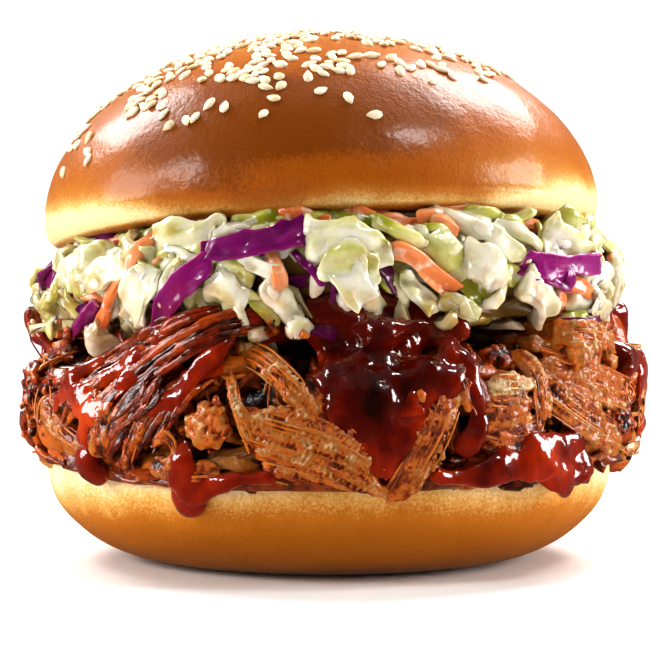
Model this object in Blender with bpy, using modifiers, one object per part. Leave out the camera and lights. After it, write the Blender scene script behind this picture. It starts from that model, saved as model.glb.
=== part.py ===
"""Pulled pork sandwich in a sesame bun, with coleslaw and barbecue sauce.

Metres, +Z up. The origin is the middle of the flat face that the sandwich stands on, and its
served side, where the filling spills out, looks along -Y. Every layer is one closed solid.
The layers are turned shapes, leaned and roughened by functions that they share, so that two
layers that meet keep the same gap all over.
"""

import math

import bmesh
import bpy
from mathutils import Matrix, Vector, noise

MM = 0.001

# Driving dimensions
BUN_RADIUS = 57.5 * MM  # both halves of the bun, at their widest
HEEL_HEIGHT = 26 * MM  # base to cut face
PORK_TOP = 45 * MM
SLAW_TOP = 64.9 * MM
CROWN_HEIGHT = 42.5 * MM
LAYER_GAP = 0.6 * MM  # air between two layers that meet

# Heel, the lower half of the bun
HEEL_BASE_RADIUS = 32 * MM
HEEL_WIDEST_Z = 20.8 * MM
HEEL_RADIUS = BUN_RADIUS + 1 * MM
HEEL_CUT_RADIUS = HEEL_RADIUS - 1 * MM  # the cut face is a little narrower than the flank
HEEL_RIM_ROUND = 1.6 * MM
HEEL_DISH = 1.2 * MM  # the filling's weight presses the cut face in
HEEL_SLUMP = 5 * MM  # the rim is squashed lower on the served side

# Pulled pork
PORK_RADIUS = 62 * MM
PORK_SHOULDER = 11 * MM
PORK_OVERHANG = 2.6 * MM  # how far it hangs below the heel's rim
PORK_MOUND = 1 * MM  # the heap's middle stands this much above its shoulder
PORK_SEAT_MARGIN = 4 * MM  # the flat ring of the pork's underside over the heel's rim
PORK_LUMP = 5.7 * MM  # how far its big clumps push the outline in and out
PORK_LUMP_SIZE = 17 * MM
PORK_SMALL_LUMP = 2.1 * MM
PORK_SMALL_LUMP_SIZE = 8.5 * MM
PORK_DENT_LIMIT = 1 * MM  # no dent goes deeper than this
PORK_LUMP_FADE = 4 * MM  # height above the heel over which the clumps grow to full size

# Barbecue sauce
SAUCE_THICKNESS = 1.8 * MM
SAUCE_LIFT = 1.45 * MM  # air under it, as its facets and the pork's don't line up
FLAT_SHARE = 0.25  # of the sheet's rings lie on the pork's flat top
FLAT_MARGIN = 4 * MM  # from there to where the shoulder starts to bend
SAUCE_RINGS = 12
SAUCE_REACH = 58 * MM  # along the pork, from its middle to the sauce's edge between the runs
SAUCE_RUNS = (  # direction of a run in degrees round +Z, its half width there, and its extra length
    (-122, 17, 19 * MM),
    (-78, 19, 26 * MM),
    (-40, 11, 13 * MM),
    (25, 16, 14 * MM),
    (104, 20, 20 * MM),
    (170, 13, 16 * MM),
)
DRIPS = (  # name, direction in degrees, width, length and thickness of a drip on the heel, its height
    ("sauce_drip_left", -138, 10 * MM, 12 * MM, 5.0 * MM, 15.4 * MM),
    ("sauce_drip_middle", -116, 9.5 * MM, 15 * MM, 5.6 * MM, 13.5 * MM),
    ("sauce_drip_right", -47, 20 * MM, 9 * MM, 5.0 * MM, 16.8 * MM),
)
DRIP_GAP = 0.4 * MM
DRIP_SWELL = 0.35  # a drop is this much wider at its lower end and narrower at its upper one
DRIP_SINK = 1 * MM  # its middle lies this far inside the heel's side, before that half is cut away

# Coleslaw
SLAW_RADIUS = 62 * MM
SLAW_TOP_RADIUS = 53 * MM
SLAW_HANG = 52  # degrees round the pork's shoulder, from its side, where the slaw's edge hangs
SLAW_CLEARANCE = 3 * LAYER_GAP  # over the sauce, whose facets and the slaw's don't line up
SLAW_SAG = 1 * MM  # its underside is this much lower over the shoulder than in the middle
SLAW_LUMP = 4.4 * MM
SLAW_LUMP_SIZE = 12 * MM

# Crown, the upper half of the bun
CROWN_WIDEST = 4.6 * MM  # above its cut face
CROWN_NARROWING = 0.10  # the dome's top is this much narrower than an ellipse
CROWN_RIM_ROUND = 4.2 * MM
CROWN_HOLLOW = 1.5 * MM
CROWN_LEAN_BACK = math.radians(4.6)  # it sits open towards the served side
CROWN_LEAN_LEFT = math.radians(2.6)
CROWN_LEFT = 1.5 * MM  # it sits a little to the left of the heel
CROWN_LIP = 0.2 * MM  # the dome overhangs the rim's rounding by this much
CROWN_UNEVEN = 0.8 * MM
CROWN_UNEVEN_SIZE = 45 * MM

TURN_STEPS = 48
CROWN_Z = SLAW_TOP + LAYER_GAP


# Profiles: (radius, height) from the axis at the top, down the outer side, to the axis below


def straight(start, end, count):
    """Points along a straight stretch, without its end."""
    return [
        (start[0] + (end[0] - start[0]) * i / count, start[1] + (end[1] - start[1]) * i / count)
        for i in range(count)
    ]


def arc(centre, across, up, first, last, count):
    """Points along a stretch of an ellipse, both ends included. Angles are in degrees from +radius."""
    points = []
    for i in range(count + 1):
        angle = math.radians(first + (last - first) * i / count)
        points.append((centre[0] + across * math.cos(angle), centre[1] + up * math.sin(angle)))
    return points


def heel_profile():
    flank = arc(
        (HEEL_BASE_RADIUS, HEEL_WIDEST_Z), HEEL_RADIUS - HEEL_BASE_RADIUS, HEEL_WIDEST_Z, 0, -90, 8
    )
    rim_centre = (HEEL_CUT_RADIUS - HEEL_RIM_ROUND, HEEL_HEIGHT - HEEL_RIM_ROUND)
    rim_arc = arc(rim_centre, HEEL_RIM_ROUND, HEEL_RIM_ROUND, 90, 10, 3)
    cut_face = straight((0, HEEL_HEIGHT - HEEL_DISH), rim_arc[0], 3)
    return cut_face + rim_arc + flank + [(0, 0)]


def pork_profile():
    shoulder = arc(
        (PORK_RADIUS - PORK_SHOULDER, PORK_TOP - PORK_SHOULDER),
        PORK_SHOULDER, PORK_SHOULDER, 90, 0, 5,
    )
    inner = HEEL_RADIUS + LAYER_GAP
    lip = arc(
        ((PORK_RADIUS + inner) / 2, HEEL_HEIGHT - PORK_OVERHANG / 2),
        (PORK_RADIUS - inner) / 2, PORK_OVERHANG, 0, -180, 4,
    )
    seat_height = HEEL_HEIGHT + LAYER_GAP
    seat_middle = (0, seat_height - HEEL_DISH)
    seat = straight((HEEL_RADIUS - PORK_SEAT_MARGIN, seat_height), seat_middle, 5)
    top = straight((0, PORK_TOP + PORK_MOUND), shoulder[0], 5)
    side = straight(shoulder[-1], lip[0], 3)[1:]
    return top + shoulder + side + lip + [(inner, seat_height)] + seat + [seat_middle]


def slaw_profile():
    """Its underside lies over the sauce and round the pork's shoulder, and its edge hangs outside."""
    over = SAUCE_LIFT + SAUCE_THICKNESS + SLAW_CLEARANCE
    shoulder = (PORK_RADIUS - PORK_SHOULDER, PORK_TOP - PORK_SHOULDER)
    around = PORK_SHOULDER + over
    underside = arc(shoulder, around, around, SLAW_HANG, 90, 4)
    edge = underside[0]
    middle = (SLAW_TOP + edge[1]) / 2
    outer = arc((SLAW_TOP_RADIUS, middle), SLAW_RADIUS - SLAW_TOP_RADIUS, SLAW_TOP - middle, 80, -40, 7)
    top_edge = (SLAW_TOP_RADIUS, SLAW_TOP)
    top = straight((0, SLAW_TOP + CROWN_HOLLOW), top_edge, 3)
    bottom_middle = (0, PORK_TOP + over + SLAW_SAG)
    bottom = straight(underside[-1], bottom_middle, 4)[1:]
    return top + [top_edge] + outer + underside + bottom + [bottom_middle]


def crown_profile():
    rise = CROWN_HEIGHT - CROWN_WIDEST
    dome = [
        (radius * (1 - CROWN_NARROWING * ((height - CROWN_WIDEST) / rise) ** 3), height)
        for radius, height in arc((0, CROWN_WIDEST), BUN_RADIUS, rise, 90, 0, 12)
    ]
    rim = arc(
        (BUN_RADIUS - CROWN_RIM_ROUND - CROWN_LIP, CROWN_RIM_ROUND),
        CROWN_RIM_ROUND, CROWN_RIM_ROUND, 0, -90, 4,
    )
    underside = straight(rim[-1], (0, CROWN_HOLLOW), 2)[1:]
    return dome + rim + underside + [(0, CROWN_HOLLOW)]


# Functions that move points


def share_of_front(point):
    """0 on the back and sides of the sandwich, rising to 1 at its served side's rim."""
    share = min(1.0, max(0.0, -point.y / BUN_RADIUS))
    return share * share * (3 - 2 * share)


def lean(point):
    """Carries a point from the straight stack to the leaning one: the heel is squashed on the
    served side, the crown sits open there, and the filling between goes from one to the other."""
    squashed = -HEEL_SLUMP * share_of_front(point)
    opened = -point.y * math.tan(CROWN_LEAN_BACK) + point.x * math.tan(CROWN_LEAN_LEFT)
    if point.z <= HEEL_HEIGHT:
        return Vector((point.x, point.y, point.z + squashed * (point.z / HEEL_HEIGHT) ** 2))
    share = min(1.0, (point.z - HEEL_HEIGHT) / (SLAW_TOP - HEEL_HEIGHT))
    return Vector((point.x, point.y, point.z + squashed * (1 - share) + opened * share))


def lump(point, size, seed):
    """Smooth unevenness from -1 to 1 whose bumps are about this size."""
    return noise.noise(point / size + Vector((seed, 2 * seed, 3 * seed)))


def outward(point, distance):
    """The point moved straight away from the sandwich's axis."""
    return point + Vector((point.x, point.y, 0)).normalized() * distance


def pork_lumps(point):
    """Clumps of meat push the outline in and out. Where it hugs the heel's rim it stays put."""
    radius = math.hypot(point.x, point.y)
    inner = HEEL_RADIUS + LAYER_GAP
    above = min(1.0, max(0.0, (point.z - HEEL_HEIGHT - LAYER_GAP) / PORK_LUMP_FADE))
    share = max(above * min(1.0, radius / PORK_RADIUS) ** 4,
                min(1.0, max(0.0, (radius - inner) / (PORK_RADIUS - inner))))
    push = PORK_LUMP * lump(point, PORK_LUMP_SIZE, 1.7)
    push += PORK_SMALL_LUMP * lump(point, PORK_SMALL_LUMP_SIZE, 4.1)
    return outward(point, max(-PORK_DENT_LIMIT, push) * share)


def slaw_lumps(point):
    share = min(1.0, math.hypot(point.x, point.y) / SLAW_RADIUS) ** 6
    push = SLAW_LUMP * lump(point, SLAW_LUMP_SIZE, 7.3)
    return outward(point, push * share)


def bun_unevenness(point):
    push = CROWN_UNEVEN * lump(point, CROWN_UNEVEN_SIZE, 3.1)
    return point * (1 + push / BUN_RADIUS)


# Making the solids


def clear_scene():
    for obj in list(bpy.data.objects):
        bpy.data.objects.remove(obj)


def add_object(name, mesh, collection):
    obj = bpy.data.objects.new(name, mesh)
    collection.objects.link(obj)
    return obj


def baked_mesh(obj):
    """The object's mesh with its modifiers taken into it."""
    bpy.context.view_layer.update()
    evaluated = obj.evaluated_get(bpy.context.evaluated_depsgraph_get())
    return bpy.data.meshes.new_from_object(evaluated)


def turned(name, profile, collection):
    """A closed solid from a profile turned round +Z."""
    mesh = bpy.data.meshes.new(name)
    shape = bmesh.new()
    verts = [shape.verts.new((radius, 0, height)) for radius, height in profile]
    for first, second in zip(verts, verts[1:]):
        shape.edges.new((first, second))
    shape.to_mesh(mesh)
    shape.free()
    obj = add_object(name, mesh, collection)
    screw = obj.modifiers.new("turn", "SCREW")
    screw.steps = screw.render_steps = TURN_STEPS
    screw.use_merge_vertices = True
    screw.merge_threshold = 0.0001
    obj.data = baked_mesh(obj)
    obj.modifiers.clear()
    return obj


def reshape(obj, *moves):
    """Moves each point of the object's mesh by these functions, in turn."""
    for vert in obj.data.vertices:
        for move in moves:
            vert.co = move(vert.co.copy())
    obj.data.update()


def finish(obj, colour, roughness):
    """Smooth shading and a plain coloured material of the object's own."""
    obj.data.shade_smooth()
    obj.data.set_sharp_from_angle(angle=math.radians(50))
    material = bpy.data.materials.new(obj.name)
    material.use_nodes = True
    shader = material.node_tree.nodes["Principled BSDF"]
    shader.inputs["Base Color"].default_value = (*colour, 1)
    shader.inputs["Roughness"].default_value = roughness
    shader.inputs["Metallic"].default_value = 0
    obj.data.materials.clear()
    obj.data.materials.append(material)


def make_heel(parts):
    heel = turned("bun_heel", heel_profile(), parts)
    reshape(heel, lean)
    finish(heel, (0.62, 0.33, 0.10), 0.5)
    return heel


def make_pork(parts):
    pork = turned("pulled_pork", pork_profile(), parts)
    reshape(pork, pork_lumps, lean)
    finish(pork, (0.40, 0.15, 0.05), 0.4)
    return pork


def sauce_reach(angle):
    """How far the sauce runs from the middle in this direction, in degrees round +Z."""
    reach = SAUCE_REACH
    for direction, half_width, extra in SAUCE_RUNS:
        apart = (angle - direction + 180) % 360 - 180
        reach += extra * math.exp(-((apart / half_width) ** 2))
    return reach


def ring_reach(share, reach):
    """Sets the rings of the sheet far apart on the pork's flat top and close together past it."""
    flat = PORK_RADIUS - PORK_SHOULDER - FLAT_MARGIN
    if share < FLAT_SHARE:
        return flat * share / FLAT_SHARE
    return flat + (reach - flat) * (share - FLAT_SHARE) / (1 - FLAT_SHARE)


def on_stack(reach, angle):
    """The point this far out over the pork's top, round its shoulder and down its side."""
    start = PORK_RADIUS - PORK_SHOULDER
    bend = PORK_SHOULDER * math.pi / 2
    if reach <= start:
        radius, height = reach, PORK_TOP
    elif reach <= start + bend:
        turn = (reach - start) / PORK_SHOULDER
        radius = start + PORK_SHOULDER * math.sin(turn)
        height = PORK_TOP - PORK_SHOULDER * (1 - math.cos(turn))
    else:
        radius, height = PORK_RADIUS, PORK_TOP - PORK_SHOULDER - (reach - start - bend)
    return Vector((radius * math.cos(angle), radius * math.sin(angle), height))


def make_sauce(parts, pork):
    """A sheet of sauce over the pork's top whose runs hang down its side."""
    shape = bmesh.new()
    bmesh.ops.create_circle(shape, cap_ends=True, cap_tris=True, radius=1, segments=TURN_STEPS)
    spokes = [edge for edge in shape.edges if min(vert.co.length for vert in edge.verts) < 0.5]
    bmesh.ops.subdivide_edges(shape, edges=spokes, cuts=SAUCE_RINGS - 1, use_grid_fill=True)
    for vert in shape.verts:
        angle = math.atan2(vert.co.y, vert.co.x)
        out = ring_reach(vert.co.length, sauce_reach(math.degrees(angle)))
        vert.co = lean(pork_lumps(on_stack(out, angle)))
    mesh = bpy.data.meshes.new("barbecue_sauce")
    shape.to_mesh(mesh)
    shape.free()
    sauce = add_object("barbecue_sauce", mesh, parts)
    wrap = sauce.modifiers.new("lie_on_pork", "SHRINKWRAP")
    wrap.target = pork
    wrap.wrap_method = "NEAREST_SURFACEPOINT"
    wrap.wrap_mode = "ABOVE_SURFACE"
    wrap.offset = SAUCE_LIFT
    body = sauce.modifiers.new("thickness", "SOLIDIFY")
    body.thickness = SAUCE_THICKNESS
    body.offset = 1
    finish(sauce, (0.13, 0.012, 0.006), 0.12)
    return sauce


def clearance_cutter(obj, gap, collection):
    """A hidden copy of the object, grown by the gap, that cuts what lies against it."""
    cutter = add_object(obj.name + "_clearance", obj.data.copy(), collection)
    normals = [vert.normal.copy() for vert in cutter.data.vertices]
    for vert, normal in zip(cutter.data.vertices, normals):
        vert.co += normal * gap
    cutter.hide_render = True
    cutter.display_type = "WIRE"
    return cutter


def make_drips(parts, heel, cutters):
    """Drops of sauce that hang on the heel's side, under the pork."""
    cutter = clearance_cutter(heel, DRIP_GAP, cutters)
    for name, direction, width, length, thickness, height in DRIPS:
        angle = math.radians(direction)
        shape = bmesh.new()
        bmesh.ops.create_uvsphere(shape, u_segments=16, v_segments=10, radius=0.5)
        for vert in shape.verts:
            swell = 1 - DRIP_SWELL * vert.co.z
            vert.co = Vector((vert.co.x * thickness * 2, vert.co.y * width * swell,
                              vert.co.z * length))
        across = HEEL_BASE_RADIUS + (HEEL_RADIUS - HEEL_BASE_RADIUS) * math.sqrt(
            1 - (1 - height / HEEL_WIDEST_Z) ** 2
        )
        place = Matrix.Rotation(angle, 4, "Z") @ Matrix.Translation((across - DRIP_SINK, 0, height))
        bmesh.ops.transform(shape, matrix=place, verts=shape.verts)
        mesh = bpy.data.meshes.new(name)
        shape.to_mesh(mesh)
        shape.free()
        drip = add_object(name, mesh, parts)
        reshape(drip, lean)
        cut = drip.modifiers.new("lie_on_heel", "BOOLEAN")
        cut.operation = "DIFFERENCE"
        cut.object = cutter
        finish(drip, (0.13, 0.012, 0.006), 0.12)


def make_slaw(parts):
    slaw = turned("coleslaw", slaw_profile(), parts)
    reshape(slaw, slaw_lumps, lean)
    finish(slaw, (0.80, 0.75, 0.52), 0.35)


def make_crown(parts):
    crown = turned("bun_crown", crown_profile(), parts)
    reshape(crown, bun_unevenness)
    crown.location = (-CROWN_LEFT, 0, CROWN_Z)
    crown.rotation_euler = (-CROWN_LEAN_BACK, -CROWN_LEAN_LEFT, 0)
    finish(crown, (0.58, 0.24, 0.05), 0.35)


def main():
    clear_scene()
    parts = bpy.data.collections.new("pulled_pork_sandwich")
    cutters = bpy.data.collections.new("cutters")
    for collection in (parts, cutters):
        bpy.context.scene.collection.children.link(collection)
    heel = make_heel(parts)
    pork = make_pork(parts)
    make_sauce(parts, pork)
    make_drips(parts, heel, cutters)
    make_slaw(parts)
    make_crown(parts)


main()
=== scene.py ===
import math
import random

import bmesh
import bpy
from mathutils import Matrix, Vector, noise
from mathutils.bvhtree import BVHTree
from mathutils.kdtree import KDTree


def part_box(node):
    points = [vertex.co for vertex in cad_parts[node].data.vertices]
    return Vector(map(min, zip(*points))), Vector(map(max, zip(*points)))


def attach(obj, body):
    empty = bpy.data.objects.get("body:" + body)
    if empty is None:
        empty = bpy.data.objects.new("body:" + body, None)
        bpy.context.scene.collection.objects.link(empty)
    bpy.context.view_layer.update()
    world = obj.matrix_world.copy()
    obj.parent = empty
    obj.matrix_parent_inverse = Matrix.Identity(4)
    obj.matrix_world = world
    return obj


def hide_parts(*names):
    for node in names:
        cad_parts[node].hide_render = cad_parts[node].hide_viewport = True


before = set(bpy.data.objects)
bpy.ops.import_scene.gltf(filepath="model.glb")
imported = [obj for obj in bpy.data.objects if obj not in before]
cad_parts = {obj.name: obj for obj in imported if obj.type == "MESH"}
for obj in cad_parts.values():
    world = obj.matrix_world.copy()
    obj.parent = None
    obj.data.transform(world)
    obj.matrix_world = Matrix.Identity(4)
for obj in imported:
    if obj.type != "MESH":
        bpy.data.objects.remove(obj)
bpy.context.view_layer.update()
mm = 0.001
up = Vector((0, 0, 1))

# Azimuths are degrees round the sandwich from the middle of its served side, positive to the right.


def hexColor(text):
    # sRGB hex to the linear values that the shaders take
    channels = [int(text[i:i + 2], 16) / 255 for i in (1, 3, 5)]
    return [c / 12.92 if c <= 0.04045 else ((c + 0.055) / 1.055) ** 2.4 for c in channels] + [1]


def addNode(tree, kind, settings=None, values=None, links=None, stops=()):
    # settings are the node's own options, values its sockets, links which output feeds which socket,
    # stops the places and colours of a ramp
    node = tree.nodes.new(kind)
    for key, value in (settings or {}).items():
        setattr(node, key, value)
    for key, value in (values or {}).items():
        node.inputs[key].default_value = value
    for key, output in (links or {}).items():
        tree.links.new(output, node.inputs[key])
    for number, (place, color) in enumerate(stops):
        band = node.color_ramp.elements
        stop = band[number] if number < 2 else band.new(place)
        stop.position = place
        stop.color = hexColor(color) if isinstance(color, str) else (color, color, color, 1)
    return node


def newMaterial(name, **values):
    # a Principled surface whose plain numbers are given by socket name, with _ for a space
    material = bpy.data.materials.new(name)
    material.use_nodes = True
    tree = material.node_tree
    shader = tree.nodes["Principled BSDF"]
    for key, value in values.items():
        shader.inputs[key.replace("_", " ")].default_value = value
    return material, tree, shader


def addPiece(name, shape, material, replaced=()):
    # turns a bmesh into a finished piece of the sandwich
    bmesh.ops.recalc_face_normals(shape, faces=shape.faces)
    mesh = bpy.data.meshes.new(name)
    shape.to_mesh(mesh)
    shape.free()
    mesh.shade_smooth()
    mesh.materials.append(material)
    piece = bpy.data.objects.new(name, mesh)
    bpy.context.scene.collection.objects.link(piece)
    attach(piece, "root")
    if replaced:
        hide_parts(*replaced)
    print(name, len(mesh.polygons), "faces")


def solidOf(*nodes):
    # the CAD nodes' own loose triangles, merged into closed solids
    shape = bmesh.new()
    for node in nodes:
        shape.from_mesh(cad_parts[node].data)
    bmesh.ops.remove_doubles(shape, verts=shape.verts, dist=0.01 * mm)
    return shape


def treeOf(*nodes):
    shape = solidOf(*nodes)
    tree = BVHTree.FromBMesh(shape)
    shape.free()
    return tree


stackTree = treeOf("bun_heel", "pulled_pork", "coleslaw")


def outwardAt(azimuth):
    angle = math.radians(azimuth)
    return Vector((math.sin(angle), -math.cos(angle), 0))


def azimuthOf(spot):
    # the azimuth of a point, but in radians
    return math.atan2(spot.x, -spot.y)


def awayFromAxis(spot):
    return Vector((spot.x, spot.y, 0)).normalized()


def onStack(azimuth, height, out=0.0, tree=stackTree):
    # the point of the stack's outside at this azimuth and height, moved outwards; all but azimuth in mm
    direction = outwardAt(azimuth)
    hit = tree.ray_cast(direction * 100 * mm + up * height * mm, -direction)[0]
    if hit is None:
        hit = direction * 40 * mm + up * height * mm
    return hit + direction * out * mm


def wave(x, y=0.0, z=0.0):
    return noise.noise(Vector((x, y, z)))


def smoothStep(low, high, value):
    share = min(1.0, max(0.0, (value - low) / (high - low)))
    return share * share * (3 - 2 * share)


def splinePoint(points, share):
    # a smooth curve through the points
    place = share * (len(points) - 1)
    i = min(int(place), len(points) - 2)
    t = place - i
    before, start, end, after = (points[min(max(i + k, 0), len(points) - 1)] for k in (-1, 0, 1, 2))
    return (
        start * 2 + (end - before) * t + (before * 2 - start * 5 + end * 4 - after) * t * t
        + (start * 3 - before - end * 3 + after) * t ** 3
    ) / 2


def withLayers(shape):
    # tone picks a place on the colour ramp, glaze is how far sauce has soaked in, and rest is where a
    # point lay before its strand was bent, so that grain follows the strand
    shape.verts.layers.float.new("tone")
    shape.verts.layers.float.new("glaze")
    shape.verts.layers.float_vector.new("rest")
    return shape


def layersOf(shape):
    floats = shape.verts.layers.float
    return floats["tone"], floats["glaze"], shape.verts.layers.float_vector["rest"]


def emptyShape():
    return withLayers(bmesh.new())


def coreOf(node):
    # a CAD node's solid, cut finer so that it can be given bumps
    core = withLayers(solidOf(node))
    bmesh.ops.subdivide_edges(core, edges=core.edges, cuts=2, use_grid_fill=True)
    core.normal_update()
    return core


def withNormals(shape):
    # each point with its normal, taken before any of them moves
    return [(vert, vert.normal.copy()) for vert in shape.verts]


def straightBlank(sides, rings):
    # a closed straight rod of radius 1 and length 1 that every shred is bent from, its rings closer
    # together towards the ends
    blank = emptyShape()
    bmesh.ops.create_cone(blank, cap_ends=True, segments=sides, radius1=1, radius2=1, depth=1)
    bmesh.ops.translate(blank, verts=blank.verts, vec=(0, 0, 0.5))
    lengthwise = [e for e in blank.edges if abs(e.verts[0].co.z - e.verts[1].co.z) > 0.5]
    bmesh.ops.subdivide_edges(blank, edges=lengthwise, cuts=rings - 1, use_grid_fill=True)
    for vert in blank.verts:
        along = vert.co.z
        vert.co.z = 0.4 * along + 0.6 * (0.5 - 0.5 * math.cos(math.pi * along))
    return blank


scratchMesh = bpy.data.meshes.new("scratch")


def addTo(target, shape):
    shape.to_mesh(scratchMesh)
    shape.free()
    target.from_mesh(scratchMesh)


# mm from the axis: where the filling starts to be held in, and where it ends at the most
reach = {"start": 63, "most": 65.9}
slawReach = {"start": 60, "most": 64.5}


def heldIn(spot, limits):
    # eases what sticks out too far back towards the axis, so that it stays near the CAD's outline
    radius = math.hypot(spot.x, spot.y) / mm
    start = limits["start"]
    if radius <= start:
        return spot
    room = limits["most"] - start
    eased = start + room * (1 - math.exp((start - radius) / room))
    return Vector((spot.x * eased / radius, spot.y * eased / radius, spot.z))


def layAlong(target, blank, points, width, thick, tone=0.5, ends=(0.15, 0.15), blunt=0.5, endSize=0.04,
             boxy=1.0, slant=(0, 0), roll=0.0, curl=0.0, ridge=0.0, ridgeSize=1.6, fray=0.0, uneven=0.2,
             crinkle=0.0, ripple=3.4, toneEnds=0.0, toneEdges=0.0, toneSpread=0.0, glaze=0.0,
             within=reach, seed=0.0):
    # Bends a straight blank along the points and adds it to the target. Sizes in mm, roll in degrees.
    # ends, blunt and endSize shape the tips, slant cuts them askew and fray tears them. A boxy below 1
    # squares the section. ridge runs along the strand, crinkle waves it every ripple mm, and uneven
    # changes its width
    shape = blank.copy()
    toneLayer, glazeLayer, restLayer = layersOf(shape)
    length = sum((b - a).length for a, b in zip(points, points[1:])) / mm
    widths = width if isinstance(width, tuple) else (width, width)
    stations = {}

    def station(share):
        key = round(share, 3)
        if key not in stations:
            centre = splinePoint(points, min(1, max(0, key)))
            ahead = splinePoint(points, min(1, key + 0.02)) - splinePoint(points, max(0, key - 0.02))
            tangent = ahead.normalized()
            out = awayFromAxis(centre)
            side = out.cross(tangent)
            side = side.normalized() if side.length > 0.05 else up.cross(tangent).normalized()
            out = tangent.cross(side)
            turn = math.radians(roll)
            stations[key] = (
                centre, tangent,
                side * math.cos(turn) + out * math.sin(turn), out * math.cos(turn) - side * math.sin(turn),
            )
        return stations[key]

    for vert in shape.verts:
        along, angle = vert.co.z, math.atan2(vert.co.y, vert.co.x)
        cosine, sine = math.cos(angle), math.sin(angle)
        centre, tangent, side, out = station(along)
        local = widths[0] + (widths[1] - widths[0]) * along
        narrow = min(1, (along + 0.001) / ends[0], (1.001 - along) / ends[1])
        swell = endSize + (1 - endSize) * narrow ** blunt
        swell *= 1 + uneven * wave(along * length / 6, seed, 0.5)
        x = math.copysign(abs(cosine) ** boxy, cosine) * local / 2 * swell
        y = math.copysign(abs(sine) ** boxy, sine) * thick / 2 * swell * (0.6 + 0.4 * local / max(widths))
        if uneven:
            x *= 1 + 1.3 * uneven * wave(along * length / 3.5, cosine * 2, seed + 3)
        if ridge:
            grain = Vector((x / ridgeSize, y / ridgeSize, along * length / ridgeSize / 9 + seed))
            push = ridge * min(1, 2 * narrow) * (noise.noise(grain) + 0.5 * noise.noise(grain * 2.3))
            x += push * cosine * 1.6
            y += push * sine * 1.6
        y += curl * (x * x) / max(local, 0.5) * 2
        if crinkle:
            y += crinkle * wave(x / ripple, along * length / ripple, seed)
            y += 0.4 * crinkle * wave(x / ripple * 2.2, along * length / ripple * 2.2, seed + 9)
        slide = x * (slant[0] * (1 - along) + slant[1] * along)
        if fray:
            pull = smoothStep(0.6, 1, along) - smoothStep(0.6, 1, 1 - along)
            slide += fray * pull * wave(cosine * local / 3 + seed, sine * 2, along * 0.3)
        vert.co = heldIn(centre + (side * x + out * y + tangent * slide) * mm, within)
        vert[restLayer] = Vector((x, y, along * length)) * mm + Vector((seed, seed * 0.7, seed * 0.3))
        vert[toneLayer] = (tone + toneEnds * (1 - min(1, 3 * narrow)) + toneEdges * abs(cosine) ** 6
                           + toneSpread * wave(x / 2 + seed, y / 2, along * length / 9))
        vert[glazeLayer] = glaze
    addTo(target, shape)


def askew(rng, most):
    # how far each end of a strand is cut aslant
    return rng.uniform(-most, most), rng.uniform(-most, most)


def addLump(target, blank, centre, size, tone, rough=0.3, grain=2.5, seed=0.0, glaze=0.0, within=reach):
    # a knobbly nugget, with bumps about one grain across. Sizes in mm
    shape = blank.copy()
    toneLayer, glazeLayer, restLayer = layersOf(shape)
    out = awayFromAxis(centre)
    place = Matrix.Translation(centre) @ out.to_track_quat("Z", "Y").to_matrix().to_4x4()
    for vert in shape.verts:
        spot = vert.co.copy()
        scaled = Vector((spot.x * size[0], spot.y * size[1], spot.z * size[2])) / 2
        bumps = noise.noise(scaled / grain + Vector((seed, 0, seed)))
        bumps += 0.5 * noise.noise(scaled / grain * 2.4 + Vector((0, seed, 0)))
        vert.co = heldIn(place @ (scaled * (1 + rough * 2 * bumps) * mm), within)
        vert[restLayer] = scaled * mm + Vector((seed, seed, 0))
        vert[toneLayer] = tone + 0.3 * bumps
        vert[glazeLayer] = glaze
    addTo(target, shape)


def ballBlank(detail):
    blank = emptyShape()
    bmesh.ops.create_icosphere(blank, subdivisions=detail, radius=1)
    return blank


def tangentPath(azimuth, height, length, slope, sag=0.0, outs=(0, 1, 0), tree=stackTree):
    # points along the stack's outside: slope 0 runs level, 90 straight up, in degrees; sizes in mm
    path = []
    for i, out in enumerate(outs):
        share = i / (len(outs) - 1) - 0.5
        level = share * length * math.cos(math.radians(slope))
        rise = share * length * math.sin(math.radians(slope)) - sag * (4 * share * share)
        path.append(onStack(azimuth + math.degrees(level / 60), height + rise, out, tree))
    return path


def remeshed(shape, voxel, smoothing):
    # joins overlapping closed forms into one skin, which takes over the layers of what it covers
    source = KDTree(len(shape.verts))
    toneLayer, glazeLayer, restLayer = layersOf(shape)
    known = []
    for number, vert in enumerate(shape.verts):
        source.insert(vert.co, number)
        known.append((vert[toneLayer], vert[glazeLayer], vert[restLayer].copy()))
    source.balance()
    mesh = bpy.data.meshes.new("joined")
    shape.to_mesh(mesh)
    shape.free()
    helper = bpy.data.objects.new("joined", mesh)
    bpy.context.scene.collection.objects.link(helper)
    remesh = helper.modifiers.new("remesh", "REMESH")
    remesh.mode = "VOXEL"
    remesh.voxel_size = voxel * mm
    bpy.context.view_layer.update()
    skin = bpy.data.meshes.new_from_object(helper.evaluated_get(bpy.context.evaluated_depsgraph_get()))
    bpy.data.objects.remove(helper)
    joined = emptyShape()
    joined.from_mesh(skin)
    toneLayer, glazeLayer, restLayer = layersOf(joined)
    for vert in joined.verts:
        vert[toneLayer], vert[glazeLayer], vert[restLayer] = known[source.find(vert.co)[1]]
    for _ in range(smoothing):
        bmesh.ops.smooth_vert(joined, verts=joined.verts, factor=0.5,
                              use_axis_x=True, use_axis_y=True, use_axis_z=True)
    joined.normal_update()
    return joined


# Camera: level with the filling, a little above its middle

cameraSet = {"distance": 480, "height": 57, "lens": 127.6, "sideways": -0.8, "tilt": 1.1}


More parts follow.
